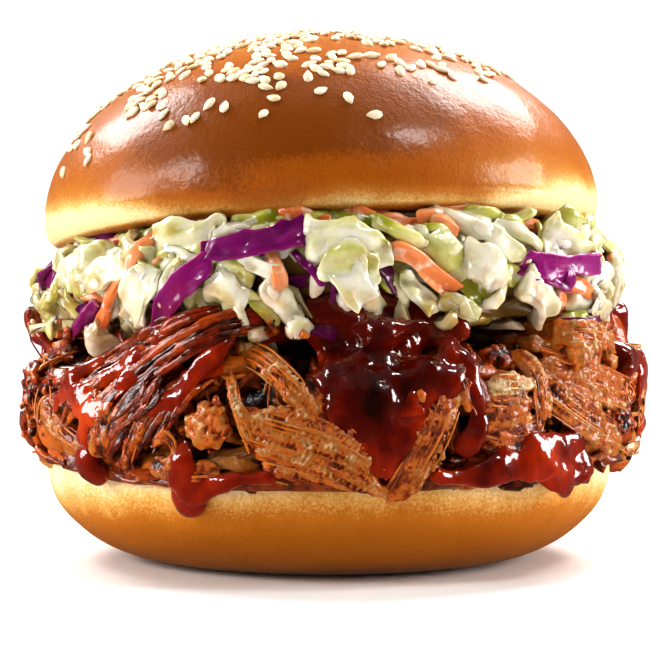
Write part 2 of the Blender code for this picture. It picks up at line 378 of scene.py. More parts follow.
def makeCamera():
    data = bpy.data.cameras.new("camera")
    data.lens = cameraSet["lens"]
    data.sensor_width = 36
    data.clip_start, data.clip_end = 0.01, 20
    camera = bpy.data.objects.new("camera", data)
    camera.location = Vector((cameraSet["sideways"], -cameraSet["distance"], cameraSet["height"])) * mm
    camera.rotation_euler = (math.radians(90 - cameraSet["tilt"]), 0, 0)
    bpy.context.scene.collection.objects.link(camera)
    bpy.context.scene.camera = camera


# Studio: a pale floor, a white surround that is darker behind the camera, soft boxes left and right

studio = {
    "floorRadius": 0.38,
    "floor": "#f4f3f1",
    "lamps": (  # name, place in mm, size in mm, watts
        ("leftBox", (-310, 195, 370), 200, 1.9),
        ("rightBox", (215, 195, 400), 240, 2.5),
        ("leftSide", (-470, -90, 150), 220, 1.3),
        ("rightSide", (470, -50, 150), 220, 1.8),
        ("topBox", (-40, 60, 540), 150, 1.2),
        ("frontBox", (-440, -270, 270), 120, 0.8),
        ("frontFill", (-160, -490, 160), 220, 0.25),
        ("rightFront", (290, -240, 500), 100, 0.9),
    ),
    # the lamps whose reflections show
    "mirrored": ("leftBox", "rightBox", "leftSide", "rightSide", "frontBox", "rightFront"),
    "overhead": 0.22,  # an even light from all over the ceiling, which keeps the floor pale far off
    "overheadAngle": 120,
    "front": 0.02,  # the surround's strength behind the camera, and behind the sandwich
    "back": 0.14,
    "aimHeight": 50,
}


def makeStudio():
    ground = bmesh.new()
    bmesh.ops.create_circle(ground, cap_ends=True, segments=96, radius=studio["floorRadius"])
    mesh = bpy.data.meshes.new("floor")
    ground.to_mesh(mesh)
    ground.free()
    floor = bpy.data.objects.new("floor", mesh)
    bpy.context.scene.collection.objects.link(floor)
    material, _, shader = newMaterial("matt white paper", Roughness=0.9)
    shader.inputs["Base Color"].default_value = hexColor(studio["floor"])
    mesh.materials.append(material)
    floor.visible_glossy = False
    for name, place, size, watts in studio["lamps"]:
        data = bpy.data.lights.new(name, "AREA")
        data.size = size * mm
        data.energy = watts
        lamp = bpy.data.objects.new(name, data)
        lamp.location = Vector(place) * mm
        aim = Vector((0, 0, studio["aimHeight"])) * mm - lamp.location
        lamp.rotation_euler = aim.to_track_quat("-Z", "Y").to_euler()
        lamp.visible_camera = False
        lamp.visible_glossy = name in studio["mirrored"]
        bpy.context.scene.collection.objects.link(lamp)
    ceiling = bpy.data.lights.new("ceiling", "SUN")
    ceiling.angle = math.radians(studio["overheadAngle"])
    ceiling.energy = studio["overhead"]
    bpy.context.scene.collection.objects.link(bpy.data.objects.new("ceiling", ceiling))
    world = bpy.data.worlds.new("studio")
    world.use_nodes = True
    bpy.context.scene.world = world
    tree = world.node_tree
    surround = tree.nodes["Background"]
    surround.inputs["Color"].default_value = (1, 1, 1, 1)
    place = addNode(tree, "ShaderNodeTexCoord").outputs["Generated"]
    split = addNode(tree, "ShaderNodeSeparateXYZ", links={"Vector": place})
    depth = addNode(tree, "ShaderNodeMapRange", links={"Value": split.outputs["Y"]}, values={
        "From Min": -0.6, "From Max": 0.6, "To Min": studio["front"], "To Max": studio["back"]})
    tree.links.new(depth.outputs["Result"], surround.inputs["Strength"])
    white = addNode(tree, "ShaderNodeBackground", values={"Color": (1, 1, 1, 1), "Strength": 1.0})
    seen = addNode(tree, "ShaderNodeLightPath").outputs["Is Camera Ray"]
    mix = addNode(tree, "ShaderNodeMixShader", links={
        0: seen, 1: surround.outputs["Background"], 2: white.outputs["Background"]})
    tree.links.new(mix.outputs["Shader"], tree.nodes["World Output"].inputs["Surface"])
    bpy.context.scene.view_settings.view_transform = "Standard"
    bpy.context.scene.view_settings.look = "Medium High Contrast"


# Bun

crown = {
    "radius": 57.5, "height": 42.5, "widest": 4.6, "narrowing": 0.10, "rim": 4.2, "lip": 0.2, "hollow": 1.5,
    "leanBack": 4.6, "leanLeft": 2.6, "base": 65.5, "left": 1.5,
    "uneven": 0.8, "unevenSize": 45, "dimples": 0.14, "wrinkles": 0.13,
    # the height that the cream rim reaches behind, how much lower it ends in front, which is painted shade
    # on the served side, and how brown it is; the paler top is partly the crust's own colour and partly
    # painted light from above, and the paler sides are painted light
    "paleTo": 16, "paintedShadeFront": 11, "browned": 0.82, "palerTopPaintedLight": 0.4, "paintedLightSides": 0.44, "blotches": 0.26,
    "gloss": 0.34, "roughness": 0.42,
    "colors": ("#ecd09a", "#d19f58", "#b27028", "#a35a10", "#984f0a", "#783c04"),
}
# torn gives the heights between which the skin ends and the torn edge begins
heel = {
    "radius": 58.5, "height": 26, "widest": 20.8, "base": 32, "rim": 1.6, "dish": 1.2, "slump": 5,
    "bulges": 0.35, "wrinkles": 0.13, "browned": 0.7, "torn": (23.8, 25.4),
    "gloss": 0.12, "roughness": 0.5,
    "colors": ("#f2d6aa", "#daa558", "#b56c18", "#a8600c", "#a9620e", "#b67019"),
}
turnSteps = 216


def arc(centre, across, tall, first, last, count):
    points = []
    for i in range(count + 1):
        angle = math.radians(first + (last - first) * i / count)
        points.append((centre[0] + across * math.cos(angle), centre[1] + tall * math.sin(angle)))
    return points


def turned(profile):
    # spins (radius, height) points in mm round the axis into a closed solid
    shape = bmesh.new()
    shape.verts.layers.float.new("tone")
    verts = [shape.verts.new((radius * mm, 0, height * mm)) for radius, height in profile]
    edges = [shape.edges.new(pair) for pair in zip(verts, verts[1:])]
    bmesh.ops.spin(shape, geom=verts + edges, cent=(0, 0, 0), axis=(0, 0, 1),
                   angle=math.tau, steps=turnSteps, use_merge=True)
    bmesh.ops.remove_doubles(shape, verts=shape.verts, dist=0.001 * mm)
    return shape


def crustMaterial(name, look):
    # Enriched bread crust, brushed with egg and baked: a satin skin that runs from cream at the rim to
    # deep brown, speckled with fine pores, under a thin glaze whose highlights look soft and grainy
    material, tree, shader = newMaterial(
        name, Roughness=look["roughness"], IOR=1.4, Specular_IOR_Level=0.15,
        Coat_Weight=look["gloss"], Coat_Roughness=0.2)
    place = addNode(tree, "ShaderNodeTexCoord").outputs["Object"]
    tone = addNode(tree, "ShaderNodeAttribute", {"attribute_name": "tone"}).outputs["Fac"]
    # sizes in mm
    blotches, pores, peel = (
        addNode(tree, "ShaderNodeTexNoise", links={"Vector": place},
                values={"Scale": 1000 / size, "Detail": detail, "Roughness": rough}).outputs["Fac"]
        for size, detail, rough in ((10, 7, 0.62), (0.5, 2, 0.5), (1.3, 3, 0.5)))
    for part, strength in ((blotches, 0.34), (pores, 0.4)):
        tone = addNode(tree, "ShaderNodeMath", {"operation": "MULTIPLY_ADD"}, values={1: strength},
                       links={0: part, 2: tone}).outputs[0]
    tone = addNode(tree, "ShaderNodeMath", {"operation": "SUBTRACT"}, values={1: 0.37},
                   links={0: tone}).outputs[0]
    stops = tuple(zip((0.0, 0.2, 0.4, 0.62, 0.82, 1.0), look["colors"]))
    color = addNode(tree, "ShaderNodeValToRGB", links={"Fac": tone}, stops=stops).outputs["Color"]
    tree.links.new(color, shader.inputs["Base Color"])
    relief = addNode(tree, "ShaderNodeMath", {"operation": "MULTIPLY_ADD"}, values={1: 0.7},
                     links={0: pores, 2: peel}).outputs[0]
    for height, strength, socket in ((relief, 0.6, "Normal"), (peel, 0.35, "Coat Normal")):
        bump = addNode(tree, "ShaderNodeBump", values={"Strength": strength, "Distance": 0.25 * mm},
                       links={"Height": height})
        tree.links.new(bump.outputs["Normal"], shader.inputs[socket])
    return material


def crumbMaterial():
    # Torn white bread crumb: dry, matt and full of small holes
    material, tree, shader = newMaterial("white bread crumb", Roughness=0.85, Subsurface_Weight=0.2,
                                         Subsurface_Scale=0.003)
    place = addNode(tree, "ShaderNodeTexCoord").outputs["Object"]
    holes = addNode(tree, "ShaderNodeTexNoise", values={"Scale": 1000 / 1.8, "Detail": 5},
                    links={"Vector": place}).outputs["Fac"]
    # the holes, where the bump lies low, are coloured darker: painted shade in them
    color = addNode(tree, "ShaderNodeValToRGB", links={"Fac": holes},
                    stops=((0.3, "#c79a5c"), (0.55, "#eed9ac"), (0.8, "#f7ead0"))).outputs["Color"]
    tree.links.new(color, shader.inputs["Base Color"])
    bump = addNode(tree, "ShaderNodeBump", values={"Strength": 0.8, "Distance": 0.8 * mm},
                   links={"Height": holes})
    tree.links.new(bump.outputs["Normal"], shader.inputs["Normal"])
    return material


def makeCrown():
    rise = crown["height"] - crown["widest"]
    dome = [
        (radius * (1 - crown["narrowing"] * ((height - crown["widest"]) / rise) ** 3), height)
        for radius, height in arc((0, crown["widest"]), crown["radius"], rise, 90, 0, 64)
    ]
    rimCentre = (crown["radius"] - crown["rim"] - crown["lip"], crown["rim"])
    rim = arc(rimCentre, crown["rim"], crown["rim"], 0, -90, 12)
    under = [(rim[-1][0] * (1 - i / 8), crown["hollow"] * i / 8) for i in range(1, 9)]
    shape = turned(dome + rim + under)
    toneLayer = shape.verts.layers.float["tone"]
    for vert in shape.verts:
        spot = vert.co / mm
        azimuth = azimuthOf(spot)
        radius = math.hypot(spot.x, spot.y)
        front = 0.5 + 0.5 * math.cos(azimuth)
        side = abs(math.sin(azimuth))
        nearRim = smoothStep(17, 3, spot.z) * smoothStep(38, 46, radius)
        push = crown["uneven"] * noise.noise(vert.co / (crown["unevenSize"] * mm) + Vector((3.1, 6.2, 9.3)))
        push += crown["dimples"] * (noise.noise(spot / 6) + 0.4 * noise.noise(spot / 2.4))
        pleat = wave(azimuth * 26, spot.z / 12, 0.7)
        pleat += 0.6 * wave(azimuth * 70, spot.z / 8, 2.7)
        push -= crown["wrinkles"] * nearRim * abs(pleat) * 2
        vert.co *= 1 + push / crown["radius"]
        # 0 is cream and 1 deep brown: the skin browns above the rim and is paler again on top, partly
        #                              painted light from above. The extra brown in front is painted shade,
        #                              and the paler sides are painted light
        edge = wave(azimuth * 2.2, 0.3) * 3.0 + wave(azimuth * 6, 1.3) * 1.4
        paleTo = crown["paleTo"] - crown["paintedShadeFront"] * front ** 2
        # the terms with front darken the served side: painted shade
        baked = smoothStep(2 - 2.6 * front + 0.5 * edge, paleTo + edge, spot.z) * crown["browned"]
        baked += smoothStep(6, 20, spot.z) * 0.14
        baked += front * 0.12 * smoothStep(8, 12, spot.z) * smoothStep(26, 15, spot.z)
        # paler on top, partly painted light from above; paler at the sides, painted light
        baked -= crown["palerTopPaintedLight"] * smoothStep(20, 42, spot.z)
        baked += 0.06 * front - crown["paintedLightSides"] * smoothStep(0.3, 1, side) * smoothStep(38, 8, spot.z)
        baked += crown["blotches"] * wave(azimuth * 1.6, spot.z / 18, 5.5) - 0.02
        baked += 0.04 * pleat * nearRim
        # the lower edge stood on the tray and is toasted there; the band is also painted shade under the
        # rim's rounding, stronger at the sides
        toastedAndShaded = smoothStep(1.4, 0.2, spot.z) * smoothStep(48, 53, radius) * (0.35 + 0.4 * side)
        vert[toneLayer] = baked + toastedAndShaded
    lean = Matrix.Rotation(-math.radians(crown["leanLeft"]), 4, "Y")
    lean = lean @ Matrix.Rotation(-math.radians(crown["leanBack"]), 4, "X")
    place = Matrix.Translation((-crown["left"] * mm, 0, crown["base"] * mm)) @ lean
    bmesh.ops.transform(shape, matrix=place, verts=shape.verts)
    material = crustMaterial("egg washed crust", crown)
    tree = BVHTree.FromBMesh(shape)
    addPiece("crown_crust", shape, material, ["bun_crown"])
    crumb = turned([(0, 1.2), (50, -0.2), (50.5, -0.6), (50, -1.0), (0, -0.6)])
    bmesh.ops.transform(crumb, matrix=place, verts=crumb.verts)
    addPiece("crown_crumb", crumb, crumbMaterial())
    return tree


def slump(spot):
    # the heel's served side is squashed lower. The point is in mm
    share = min(1.0, max(0.0, -spot.y / crown["radius"]))
    share = share * share * (3 - 2 * share)
    drop = heel["slump"] * share * (max(0, spot.z) / heel["height"]) ** 2
    return Vector((spot.x, spot.y, spot.z - drop))


def makeHeel():
    flank = arc((heel["base"], heel["widest"]), heel["radius"] - heel["base"], heel["widest"], 0, -90, 48)
    rimCentre = (heel["radius"] - 1 - heel["rim"], heel["height"] - heel["rim"])
    rim = arc(rimCentre, heel["rim"], heel["rim"], 90, 10, 10)
    face = [(rim[0][0] * i / 12, heel["height"] - heel["dish"] * (1 - i / 12)) for i in range(12)]
    shape = turned(face + rim + flank + [(0, 0)])
    toneLayer = shape.verts.layers.float["tone"]
    for vert in shape.verts:
        spot = vert.co / mm
        azimuth = azimuthOf(spot)
        radius = max(1, math.hypot(spot.x, spot.y))
        side = smoothStep(38, 50, radius)
        front = 0.5 + 0.5 * math.cos(azimuth)
        pleat = wave(azimuth * 24, spot.z / 14, 4.7)
        pleat += 0.6 * wave(azimuth * 62, spot.z / 9, 1.7)
        push = -heel["wrinkles"] * abs(pleat) * side * smoothStep(26, 14, spot.z)
        push += heel["bulges"] * side * noise.noise(spot / 9)
        torn = smoothStep(*heel["torn"], spot.z)
        crumbs = 0.6 * noise.noise(spot / 1.4) * torn
        push += 0.5 * noise.noise(spot / 1.1 + Vector((5, 5, 5))) * torn * side
        swell = 1 + push / radius
        vert.co = slump(Vector((spot.x * swell, spot.y * swell, spot.z + crumbs))) * mm
        # it browns towards the foot, which stood on the tray; in front the brown reaches higher and the
        # foot is darker, which is painted shade
        edge = wave(azimuth * 2.6, 5.3) * 2.5 + wave(azimuth * 7, 2.3) * 1.2 + 6 * front ** 3
        baked = smoothStep(21 + edge, 2 + edge * 0.5, spot.z) * heel["browned"]
        # darker foot in front only: painted shade
        baked += 0.15 * front * smoothStep(12, 2, spot.z)
        stripes = 0.035 * pleat * side + 0.12 * wave(azimuth * 3, spot.z / 12, 8.1)
        vert[toneLayer] = (baked + stripes) * (1 - torn)
    material = crustMaterial("soft baked crust", heel)
    addPiece("heel_crust", shape, material, ["bun_heel"])


# Sesame seeds

seeds = {
    "count": 600, "tries": 9000, "long": 3.45, "wide": 2.1, "thick": 1.15, "apart": 1.75, "lift": 0.25,
    "down": 59, "downLeft": 11, "clumpSize": 9,
    "colors": ("#f1e0c4", "#e4cca2", "#cda671"),
    "lone": (  # azimuth and degrees down from the top, for the few that lie below the rest
        (11, 60), (6, 56), (-12, 60), (-33, 62), (-36, 59), (-29, 61), (-57, 66), (-60, 63), (-55, 68),
        (-66, 70), (-38, 57), (36, 48), (29, 50), (54, 46), (0, 54), (-21, 58),
    ),
}


def seedPlaces(rng):
    # they fell in clumps round the top and a little further down on the left
    for azimuth, down in seeds["lone"]:
        yield azimuth, down
    while True:
        azimuth = rng.uniform(-180, 180)
        slope = math.radians(azimuth)
        most = seeds["down"] - seeds["downLeft"] * math.sin(slope)
        down = most * math.sqrt(rng.random())
        size = seeds["clumpSize"]
        clump = wave(down * math.sin(slope) / size, down * math.cos(slope) / size, 3.3)
        if rng.random() < smoothStep(most, most * 0.66, down) * (0.55 + 1.7 * clump):
            yield azimuth, down


def makeSeeds(crustTree):
    rng = random.Random(11)
    blank = emptyShape()
    bmesh.ops.create_uvsphere(blank, u_segments=9, v_segments=7, radius=0.5)
    target = emptyShape()
    centre = Vector((-crown["left"], 0, 58)) * mm
    placed = []
    tries = 0
    for azimuth, down in seedPlaces(rng):
        tries += 1
        if len(placed) >= seeds["count"] or tries > seeds["tries"]:
            break
        lift = math.radians(90 - down)
        direction = outwardAt(azimuth) * math.cos(lift) + up * math.sin(lift)
        hit, normal = crustTree.ray_cast(centre + direction * 0.2, -direction)[:2]
        if any((hit - other).length < seeds["apart"] * mm for other in placed):
            continue
        placed.append(hit)
        shape = blank.copy()
        toneLayer = shape.verts.layers.float["tone"]
        size = rng.uniform(0.86, 1.08)
        tone = rng.random() ** 2
        tilt = Matrix.Rotation(rng.uniform(-0.3, 0.3), 4, "X")
        tilt = tilt @ Matrix.Rotation(rng.uniform(-0.25, 0.25), 4, "Y")
        spin = Matrix.Rotation(rng.uniform(0, math.tau), 4, "Z")
        place = Matrix.Translation(hit + normal * seeds["lift"] * mm)
        place = place @ normal.to_track_quat("Z", "Y").to_matrix().to_4x4()
        place = place @ tilt @ spin
        for vert in shape.verts:
            vert[toneLayer] = 0.6 * tone + 0.5 * smoothStep(0.2, 0.5, vert.co.x)
            pinch = 1 - 0.7 * smoothStep(-0.1, 0.62, vert.co.x)
            spot = Vector((vert.co.x * seeds["long"], vert.co.y * seeds["wide"] * pinch,
                           vert.co.z * seeds["thick"] * (0.5 + 0.5 * pinch)))
            vert.co = place @ (spot * size * mm)
        addTo(target, shape)
    # Hulled white sesame: smooth, slightly oily, cream with a toasted tip
    material, tree, shader = newMaterial("hulled white sesame", Roughness=0.36, IOR=1.47,
                                         Subsurface_Weight=0.2, Subsurface_Scale=0.001)
    tone = addNode(tree, "ShaderNodeAttribute", {"attribute_name": "tone"}).outputs["Fac"]
    color = addNode(tree, "ShaderNodeValToRGB", links={"Fac": tone},
                    stops=tuple(zip((0.0, 0.45, 1.0), seeds["colors"]))).outputs["Color"]
    tree.links.new(color, shader.inputs["Base Color"])
    addPiece("sesame_seeds", target, material)
    print("seeds placed", len(placed))


# Pulled pork

pork = {
    # resting is the share of the shreds that lie on the lower bun, sink how deep the core lies in mm,
    # and ridges, lumps and pits are the relief of the fused chunks in mm
    "voxel": 0.46, "shreds": 320, "resting": 0.26, "threads": 340, "crumbs": 420, "sink": 4.0, "seed": 5,
    "ridges": 0.62, "lumps": 0.45, "pits": 0.14,
    "meat": ("#0d0200", "#340e02", "#6a2602", "#9c4003", "#d06a06", "#ba6c1a", "#ae7638", "#dcbc8c"),
    "glazed": ("#140301", "#3f0a01", "#751a02", "#a93803", "#cc640a"),
    "glazeSpots": (  # azimuth, height, how far round in degrees and up in mm, strength
        (-36, 40, 13, 12, 1.0), (-47, 33, 7, 8, 0.8), (11, 40, 15, 13, 1.0), (34, 24, 14, 5, 0.9),
        (-24, 25, 6, 6, 0.2), (27, 44, 7, 6, 0.7), (-18, 47, 9, 5, 0.7), (70, 30, 8, 5, 0.6),
    ),
}


def glazeAt(spot):
    # how much sauce has soaked in at a point of the heap, from 0 to 1
    azimuth = math.degrees(azimuthOf(spot))
    height = spot.z / mm
    glaze = 0.9 * smoothStep(0.02, 0.34, wave(azimuth / 13, height / 8, 4.4))
    for middle, level, around, tall, strength in pork["glazeSpots"]:
        apart = ((azimuth - middle) / around) ** 2 + ((height - level) / tall) ** 2
        glaze = max(glaze, strength * math.exp(-apart))
    return glaze


def meatMaterial(name):
    # Slow cooked pork shoulder, pulled: bundles of fine fibres, tan to orange, moist with fat, brown-red
    # and shiny where the sauce has soaked in, charred at some ends
    material, tree, shader = newMaterial(
        name, IOR=1.42, Coat_Weight=0.6, Coat_Roughness=0.1,
        Subsurface_Weight=0.15, Subsurface_Scale=0.0015, Subsurface_Radius=(1.0, 0.5, 0.25))
    place = addNode(tree, "ShaderNodeTexCoord").outputs["Object"]
    rest = addNode(tree, "ShaderNodeAttribute", {"attribute_name": "rest"}).outputs["Vector"]
    tone, glaze = (addNode(tree, "ShaderNodeAttribute", {"attribute_name": layer}).outputs["Fac"]
                   for layer in ("tone", "glaze"))
    # wavy fibres 0.5 mm apart, a little coarser than real ones so that they show, and 4 mm long
    grain = addNode(tree, "ShaderNodeMapping", values={"Scale": (1000 / 0.5, 1000 / 0.5, 1000 / 4)},
                    links={"Vector": rest}).outputs["Vector"]
    fibre = addNode(tree, "ShaderNodeTexNoise", values={"Scale": 1.0, "Detail": 4, "Distortion": 0.7},
                    links={"Vector": grain}).outputs["Fac"]
    patch, speckle, film = (
        addNode(tree, "ShaderNodeTexNoise", values={"Scale": 1000 / size, "Detail": detail},
                links={"Vector": place}).outputs["Fac"] for size, detail in ((3.2, 4), (0.9, 2), (2, 1)))
    for part, strength in ((fibre, 0.36), (patch, 0.75), (speckle, 0.3)):
        tone = addNode(tree, "ShaderNodeMath", {"operation": "MULTIPLY_ADD"}, values={1: strength},
                       links={0: part, 2: tone}).outputs[0]
    tone = addNode(tree, "ShaderNodeMath", {"operation": "SUBTRACT"}, values={1: 0.74},
                   links={0: tone}).outputs[0]
    ramps = (
        ((0.0, 0.14, 0.28, 0.42, 0.54, 0.66, 0.8, 1.0), pork["meat"]),
        ((0.05, 0.25, 0.45, 0.68, 0.9), pork["glazed"]),
    )
    bare, soaked = (
        addNode(tree, "ShaderNodeValToRGB", links={"Fac": tone},
                stops=tuple(zip(places, colors))).outputs["Color"] for places, colors in ramps)
    # sauce soaks in unevenly. Where it has, it smooths the surface and hides the fibres
    blots = addNode(tree, "ShaderNodeMath", {"operation": "MULTIPLY_ADD"}, values={1: 1.6, 2: -0.8},
                    links={0: patch}).outputs[0]
    wet = addNode(tree, "ShaderNodeMath", {"operation": "ADD", "use_clamp": True},
                  links={0: glaze, 1: blots}).outputs[0]
    color = addNode(tree, "ShaderNodeMix", {"data_type": "RGBA"},
                    links={"Factor": wet, "A": bare, "B": soaked}).outputs["Result"]
    tree.links.new(color, shader.inputs["Base Color"])
    roughness, firm = (
        addNode(tree, "ShaderNodeMapRange", values={"To Min": whenDry, "To Max": whenWet},
                links={"Value": wet}).outputs["Result"] for whenDry, whenWet in ((0.38, 0.18), (0.75, 0.3)))
    tree.links.new(roughness, shader.inputs["Roughness"])
    relief = addNode(tree, "ShaderNodeMath", {"operation": "MULTIPLY_ADD"}, values={1: 0.7},
                     links={0: speckle, 2: fibre}).outputs[0]
    bump = addNode(tree, "ShaderNodeBump", values={"Distance": 0.4 * mm},
                   links={"Height": relief, "Strength": firm})
    tree.links.new(bump.outputs["Normal"], shader.inputs["Normal"])
    # the film of fat and glaze lies smoother than the fibres, so it glints
    wavy = addNode(tree, "ShaderNodeBump", values={"Strength": 0.7, "Distance": 0.7 * mm},
                   links={"Height": film})
    tree.links.new(wavy.outputs["Normal"], shader.inputs["Coat Normal"])
    return material


# What shows on the served side: points (azimuth, height, mm proud of the heap), width, thickness, tone
chunks = (
    (((-20, 44, 1.5), (-12, 42.5, 3.5), (-6, 37.5, 4), (-2.5, 32.5, 2.5)), 5.2, 3.2, 0.76),
    (((-15, 32, 1.5), (-8, 30, 3.2), (0, 27, 3.4), (7, 22, 2.0)), 7.5, 5, 0.72),
    (((-13, 27.5, 1.5), (-6, 25.5, 3.0), (2, 22.5, 3.2), (9, 18.6, 2.4)), 6, 4.5, 0.68),
    (((-9, 33, 2.0), (-3, 31, 3.4), (3, 28, 3.0)), 3.6, 3, 0.56),
    (((-11, 24, 1.0), (-5, 22.5, 2.2), (2, 20.5, 2.0)), 3.2, 3, 0.50),
    (((20, 37, 2.5), (17, 29, 4), (13, 21.5, 3.5), (11, 17, 3)), 7, 4.5, 0.6),
    (((34, 46.5, 1), (46, 45, 3), (60, 44.5, 3.5), (76, 44, 2)), 10, 5, 0.72),
    (((39, 37, 2.5), (46, 32.5, 4), (55, 28, 4), (62, 25.5, 2.5)), 8, 5, 0.63),
    (((41, 40.5, 1), (51, 37.5, 2.5), (64, 34.5, 2.5)), 8, 5, 0.66),
    (((37, 43.5, 3), (37.5, 38, 4), (38, 31, 3)), 4.2, 3.4, 0.56),
    (((-56, 47, 1), (-68, 44, 2.5), (-84, 41, 2)), 4.5, 3, 0.50),
    (((-28, 38, 1.5), (-33, 31, 3), (-37, 22, 1.5)), 5, 3.4, 0.42),
    (((-40, 34, 1.5), (-41.5, 29, 3), (-42, 24, 2)), 6.5, 3.6, 0.44),
    (((-17, 40, 2), (-14.5, 33, 4), (-12.5, 27, 3)), 2.6, 2, 0.62),
    (((-23, 38, 2), (-27, 36, 3.5), (-28, 29, 3)), 2.4, 1.8, 0.58),
    (((-31, 26, 2.5), (-28, 28.5, 4), (-26, 27, 4), (-26, 23.5, 2.5)), 2.4, 2.2, 0.57),
    (((-31, 23.5, 2), (-25, 22, 3.5), (-19, 22.5, 2)), 4.6, 3.6, 0.58),
    (((19, 45, 3), (22, 40, 4), (24, 33, 3)), 3.6, 2.6, 0.46),
    (((25, 34, 2), (30, 33, 3.5), (36, 34.5, 2)), 6, 4, 0.52),
    (((27, 37.5, 3), (31, 37.5, 4), (36, 37, 2.5)), 5, 3, 0.98),
    (((-26, 44.5, 1.0), (-18, 44, 2.2), (-8, 46, 1.0)), 5, 3, 0.44),
    (((26, 28.5, 1.5), (31, 27.5, 2.5), (37, 29, 1.5)), 6, 4, 0.42),
    (((58, 42.5, 2), (67, 42, 3), (76, 41, 2)), 2.2, 1.8, 0.57),
    (((-60, 33, 1), (-55, 29, 2), (-48, 25, 1)), 5, 3, 0.62),
    (((-4, 39, 1.5), (0, 33, 1.5), (4, 29, 1.2)), 4.5, 3, 0.5),
    (((-11, 48.5, 0.5), (-6, 45, 1.6), (-2, 40.5, 1.2)), 6, 4, 0.48),
    (((-5, 49.5, 0.0), (-3.5, 45, 1.0), (-1.5, 41, 0.8)), 5, 3.4, 0.4),
)
glazedStrands = (  # points as above, width; nearly all run down to the left under thin sauce
    (((-8, 50, -2.5), (-18, 46, 1.4), (-29, 39, 3.0), (-38, 30, 2.0)), 5),
    (((-12, 51, -2.5), (-23, 46.5, 1.6), (-34, 39.5, 3.0), (-44, 31, 1.6)), 6),
    (((-16, 52, -2.5), (-27, 48, 1.6), (-38, 42, 3.0), (-49, 34, 1.6)), 5),
    (((-22, 51, -2.5), (-32, 47.5, 1.4), (-43, 42.5, 2.6), (-54, 36, 1.0)), 5),
    (((-20, 44, 1.5), (-27, 36, 3.0), (-32, 28.5, 2.6), (-36, 22.5, 1.4)), 4),
    (((-17, 45, 1.0), (-23, 38, 2.8), (-28, 31, 2.8), (-30.5, 25, 1.6)), 3),
    (((-26, 43, 1.5), (-33, 36, 3.0), (-38, 29, 2.8), (-42, 23, 1.5)), 5),
    (((-31, 43, 1.5), (-38, 37, 3.0), (-44, 31, 2.6), (-47, 25, 1.4)), 4),
    (((-36, 44, 1.5), (-43, 39, 2.8), (-50, 33, 2.0), (-54, 28, 1.0)), 4),
    (((22, 43, 2.0), (25, 38, 3.8), (27, 33, 3.4)), 3),
)
nuggets = (  # azimuth, height, mm proud, (width, height, depth), tone
    (-69, 36, 1.0, (9, 10, 6), 0.40),
    (-46, 34, 1.5, (10, 7, 6), 0.2),
    (-21, 30.5, 2.8, (8.5, 9, 5.5), 0.7),
    (67, 29.5, 0.5, (8, 6, 5), 0.3),
    (33, 42.5, 1.0, (7, 5, 5), 0.42),
    (-55, 28, 0.5, (6, 5, 4), 0.55),
    (29, 26.5, 1.5, (7, 4, 4), 0.26),
)


def spotsOf(points, inward=0.0):
    return [onStack(azimuth, height, out - inward) for azimuth, height, out in points]


def addBundle(target, blank, spots, width, thick, tone, glaze, rng, apart=1.1):
    # soft strands side by side over a chunk, each of its own length
    count = max(2, round(width / apart))
    span = spots[-1] - spots[0]
    tangent = span.normalized()
    for number in range(count):
        across = (number + 0.5) / count * 2 - 1 + rng.uniform(-0.15, 0.15)
        first = rng.uniform(-0.04, 0.2)
        last = rng.uniform(0.78, 1.05)
        drift = rng.uniform(-0.2, 0.2)
        path = []
        for i in range(5):
            share = first + (last - first) * i / 4
            centre = splinePoint(spots, min(1, max(0, share)))
            centre = centre + tangent * (min(0, share) + max(0, share - 1)) * span.length
            out = awayFromAxis(centre)
            side = out.cross(tangent).normalized()
            place = across * 0.42 * width + drift * width * (share - 0.5) + rng.uniform(-0.25, 0.25)
            lift = thick * 0.32 * math.sqrt(max(0, 1 - across * across)) + rng.uniform(-0.3, 0.3)
            path.append(centre + (side * place + out * lift) * mm)
        size = apart * rng.uniform(1.2, 2.0)
        layAlong(target, blank, path, size, size * rng.uniform(0.6, 0.9), tone + rng.uniform(-0.2, 0.14),
                 ends=(0.2, 0.2), blunt=0.6, ridge=0.12, ridgeSize=1.2, fray=1.2, uneven=0.5, crinkle=0.8,
                 ripple=2.4, toneSpread=0.2, toneEnds=-0.1, glaze=glaze, seed=rng.uniform(0, 60))


def addThread(target, blank, spots, width, thick, tone, rng):
    # one loose fibre that runs along a bigger piece and springs free at its end
    first, last = sorted((rng.uniform(-0.08, 0.6), rng.uniform(0.4, 1.12)))
    if last - first < 0.25:
        last = first + 0.3
    across = rng.uniform(-0.5, 0.5)
    span = spots[-1] - spots[0]
    tangent = span.normalized()
    path = []
    for i in range(4):
        share = first + (last - first) * i / 3
        centre = splinePoint(spots, min(1, max(0, share)))
        over = min(0, share) + max(0, share - 1)
        out = awayFromAxis(centre)
        side = out.cross(tangent).normalized()
        lift = thick * 0.5 * math.sqrt(max(0, 1 - (across * 2) ** 2)) + rng.uniform(-0.1, 0.5)
        path.append(centre + tangent * over * span.length + (side * across * width + out * lift) * mm)
    size = rng.uniform(0.3, 0.65)
    layAlong(target, blank, path, size, size * 0.8, tone + rng.uniform(-0.2, 0.1), ends=(0.15, 0.15),
             uneven=0.3, glaze=0.6 * glazeAt(path[1]), seed=rng.uniform(0, 50))


def makePorkCore(material):
    core = coreOf("pulled_pork")
    toneLayer = layersOf(core)[0]
    for vert in core.verts:
        spot = vert.co / mm
        azimuth = azimuthOf(spot)
        outer = smoothStep(20, 55, math.hypot(spot.x, spot.y))
        sink = pork["sink"] * smoothStep(17, 27, spot.z)
        push = outer * (1.8 * noise.noise(spot / 3.5) + 1.0 * noise.noise(spot / 1.7) - sink)
        vert.co.x += push * math.sin(azimuth) * mm
        vert.co.y -= push * math.cos(azimuth) * mm
        # painted dark as painted shade in the gaps between the shreds, and lighter towards the lower bun
        vert[toneLayer] = 0.14 + 0.22 * smoothStep(30, 22, spot.z)
    addPiece("pork_core_in_shade", core, material, ["pulled_pork"])


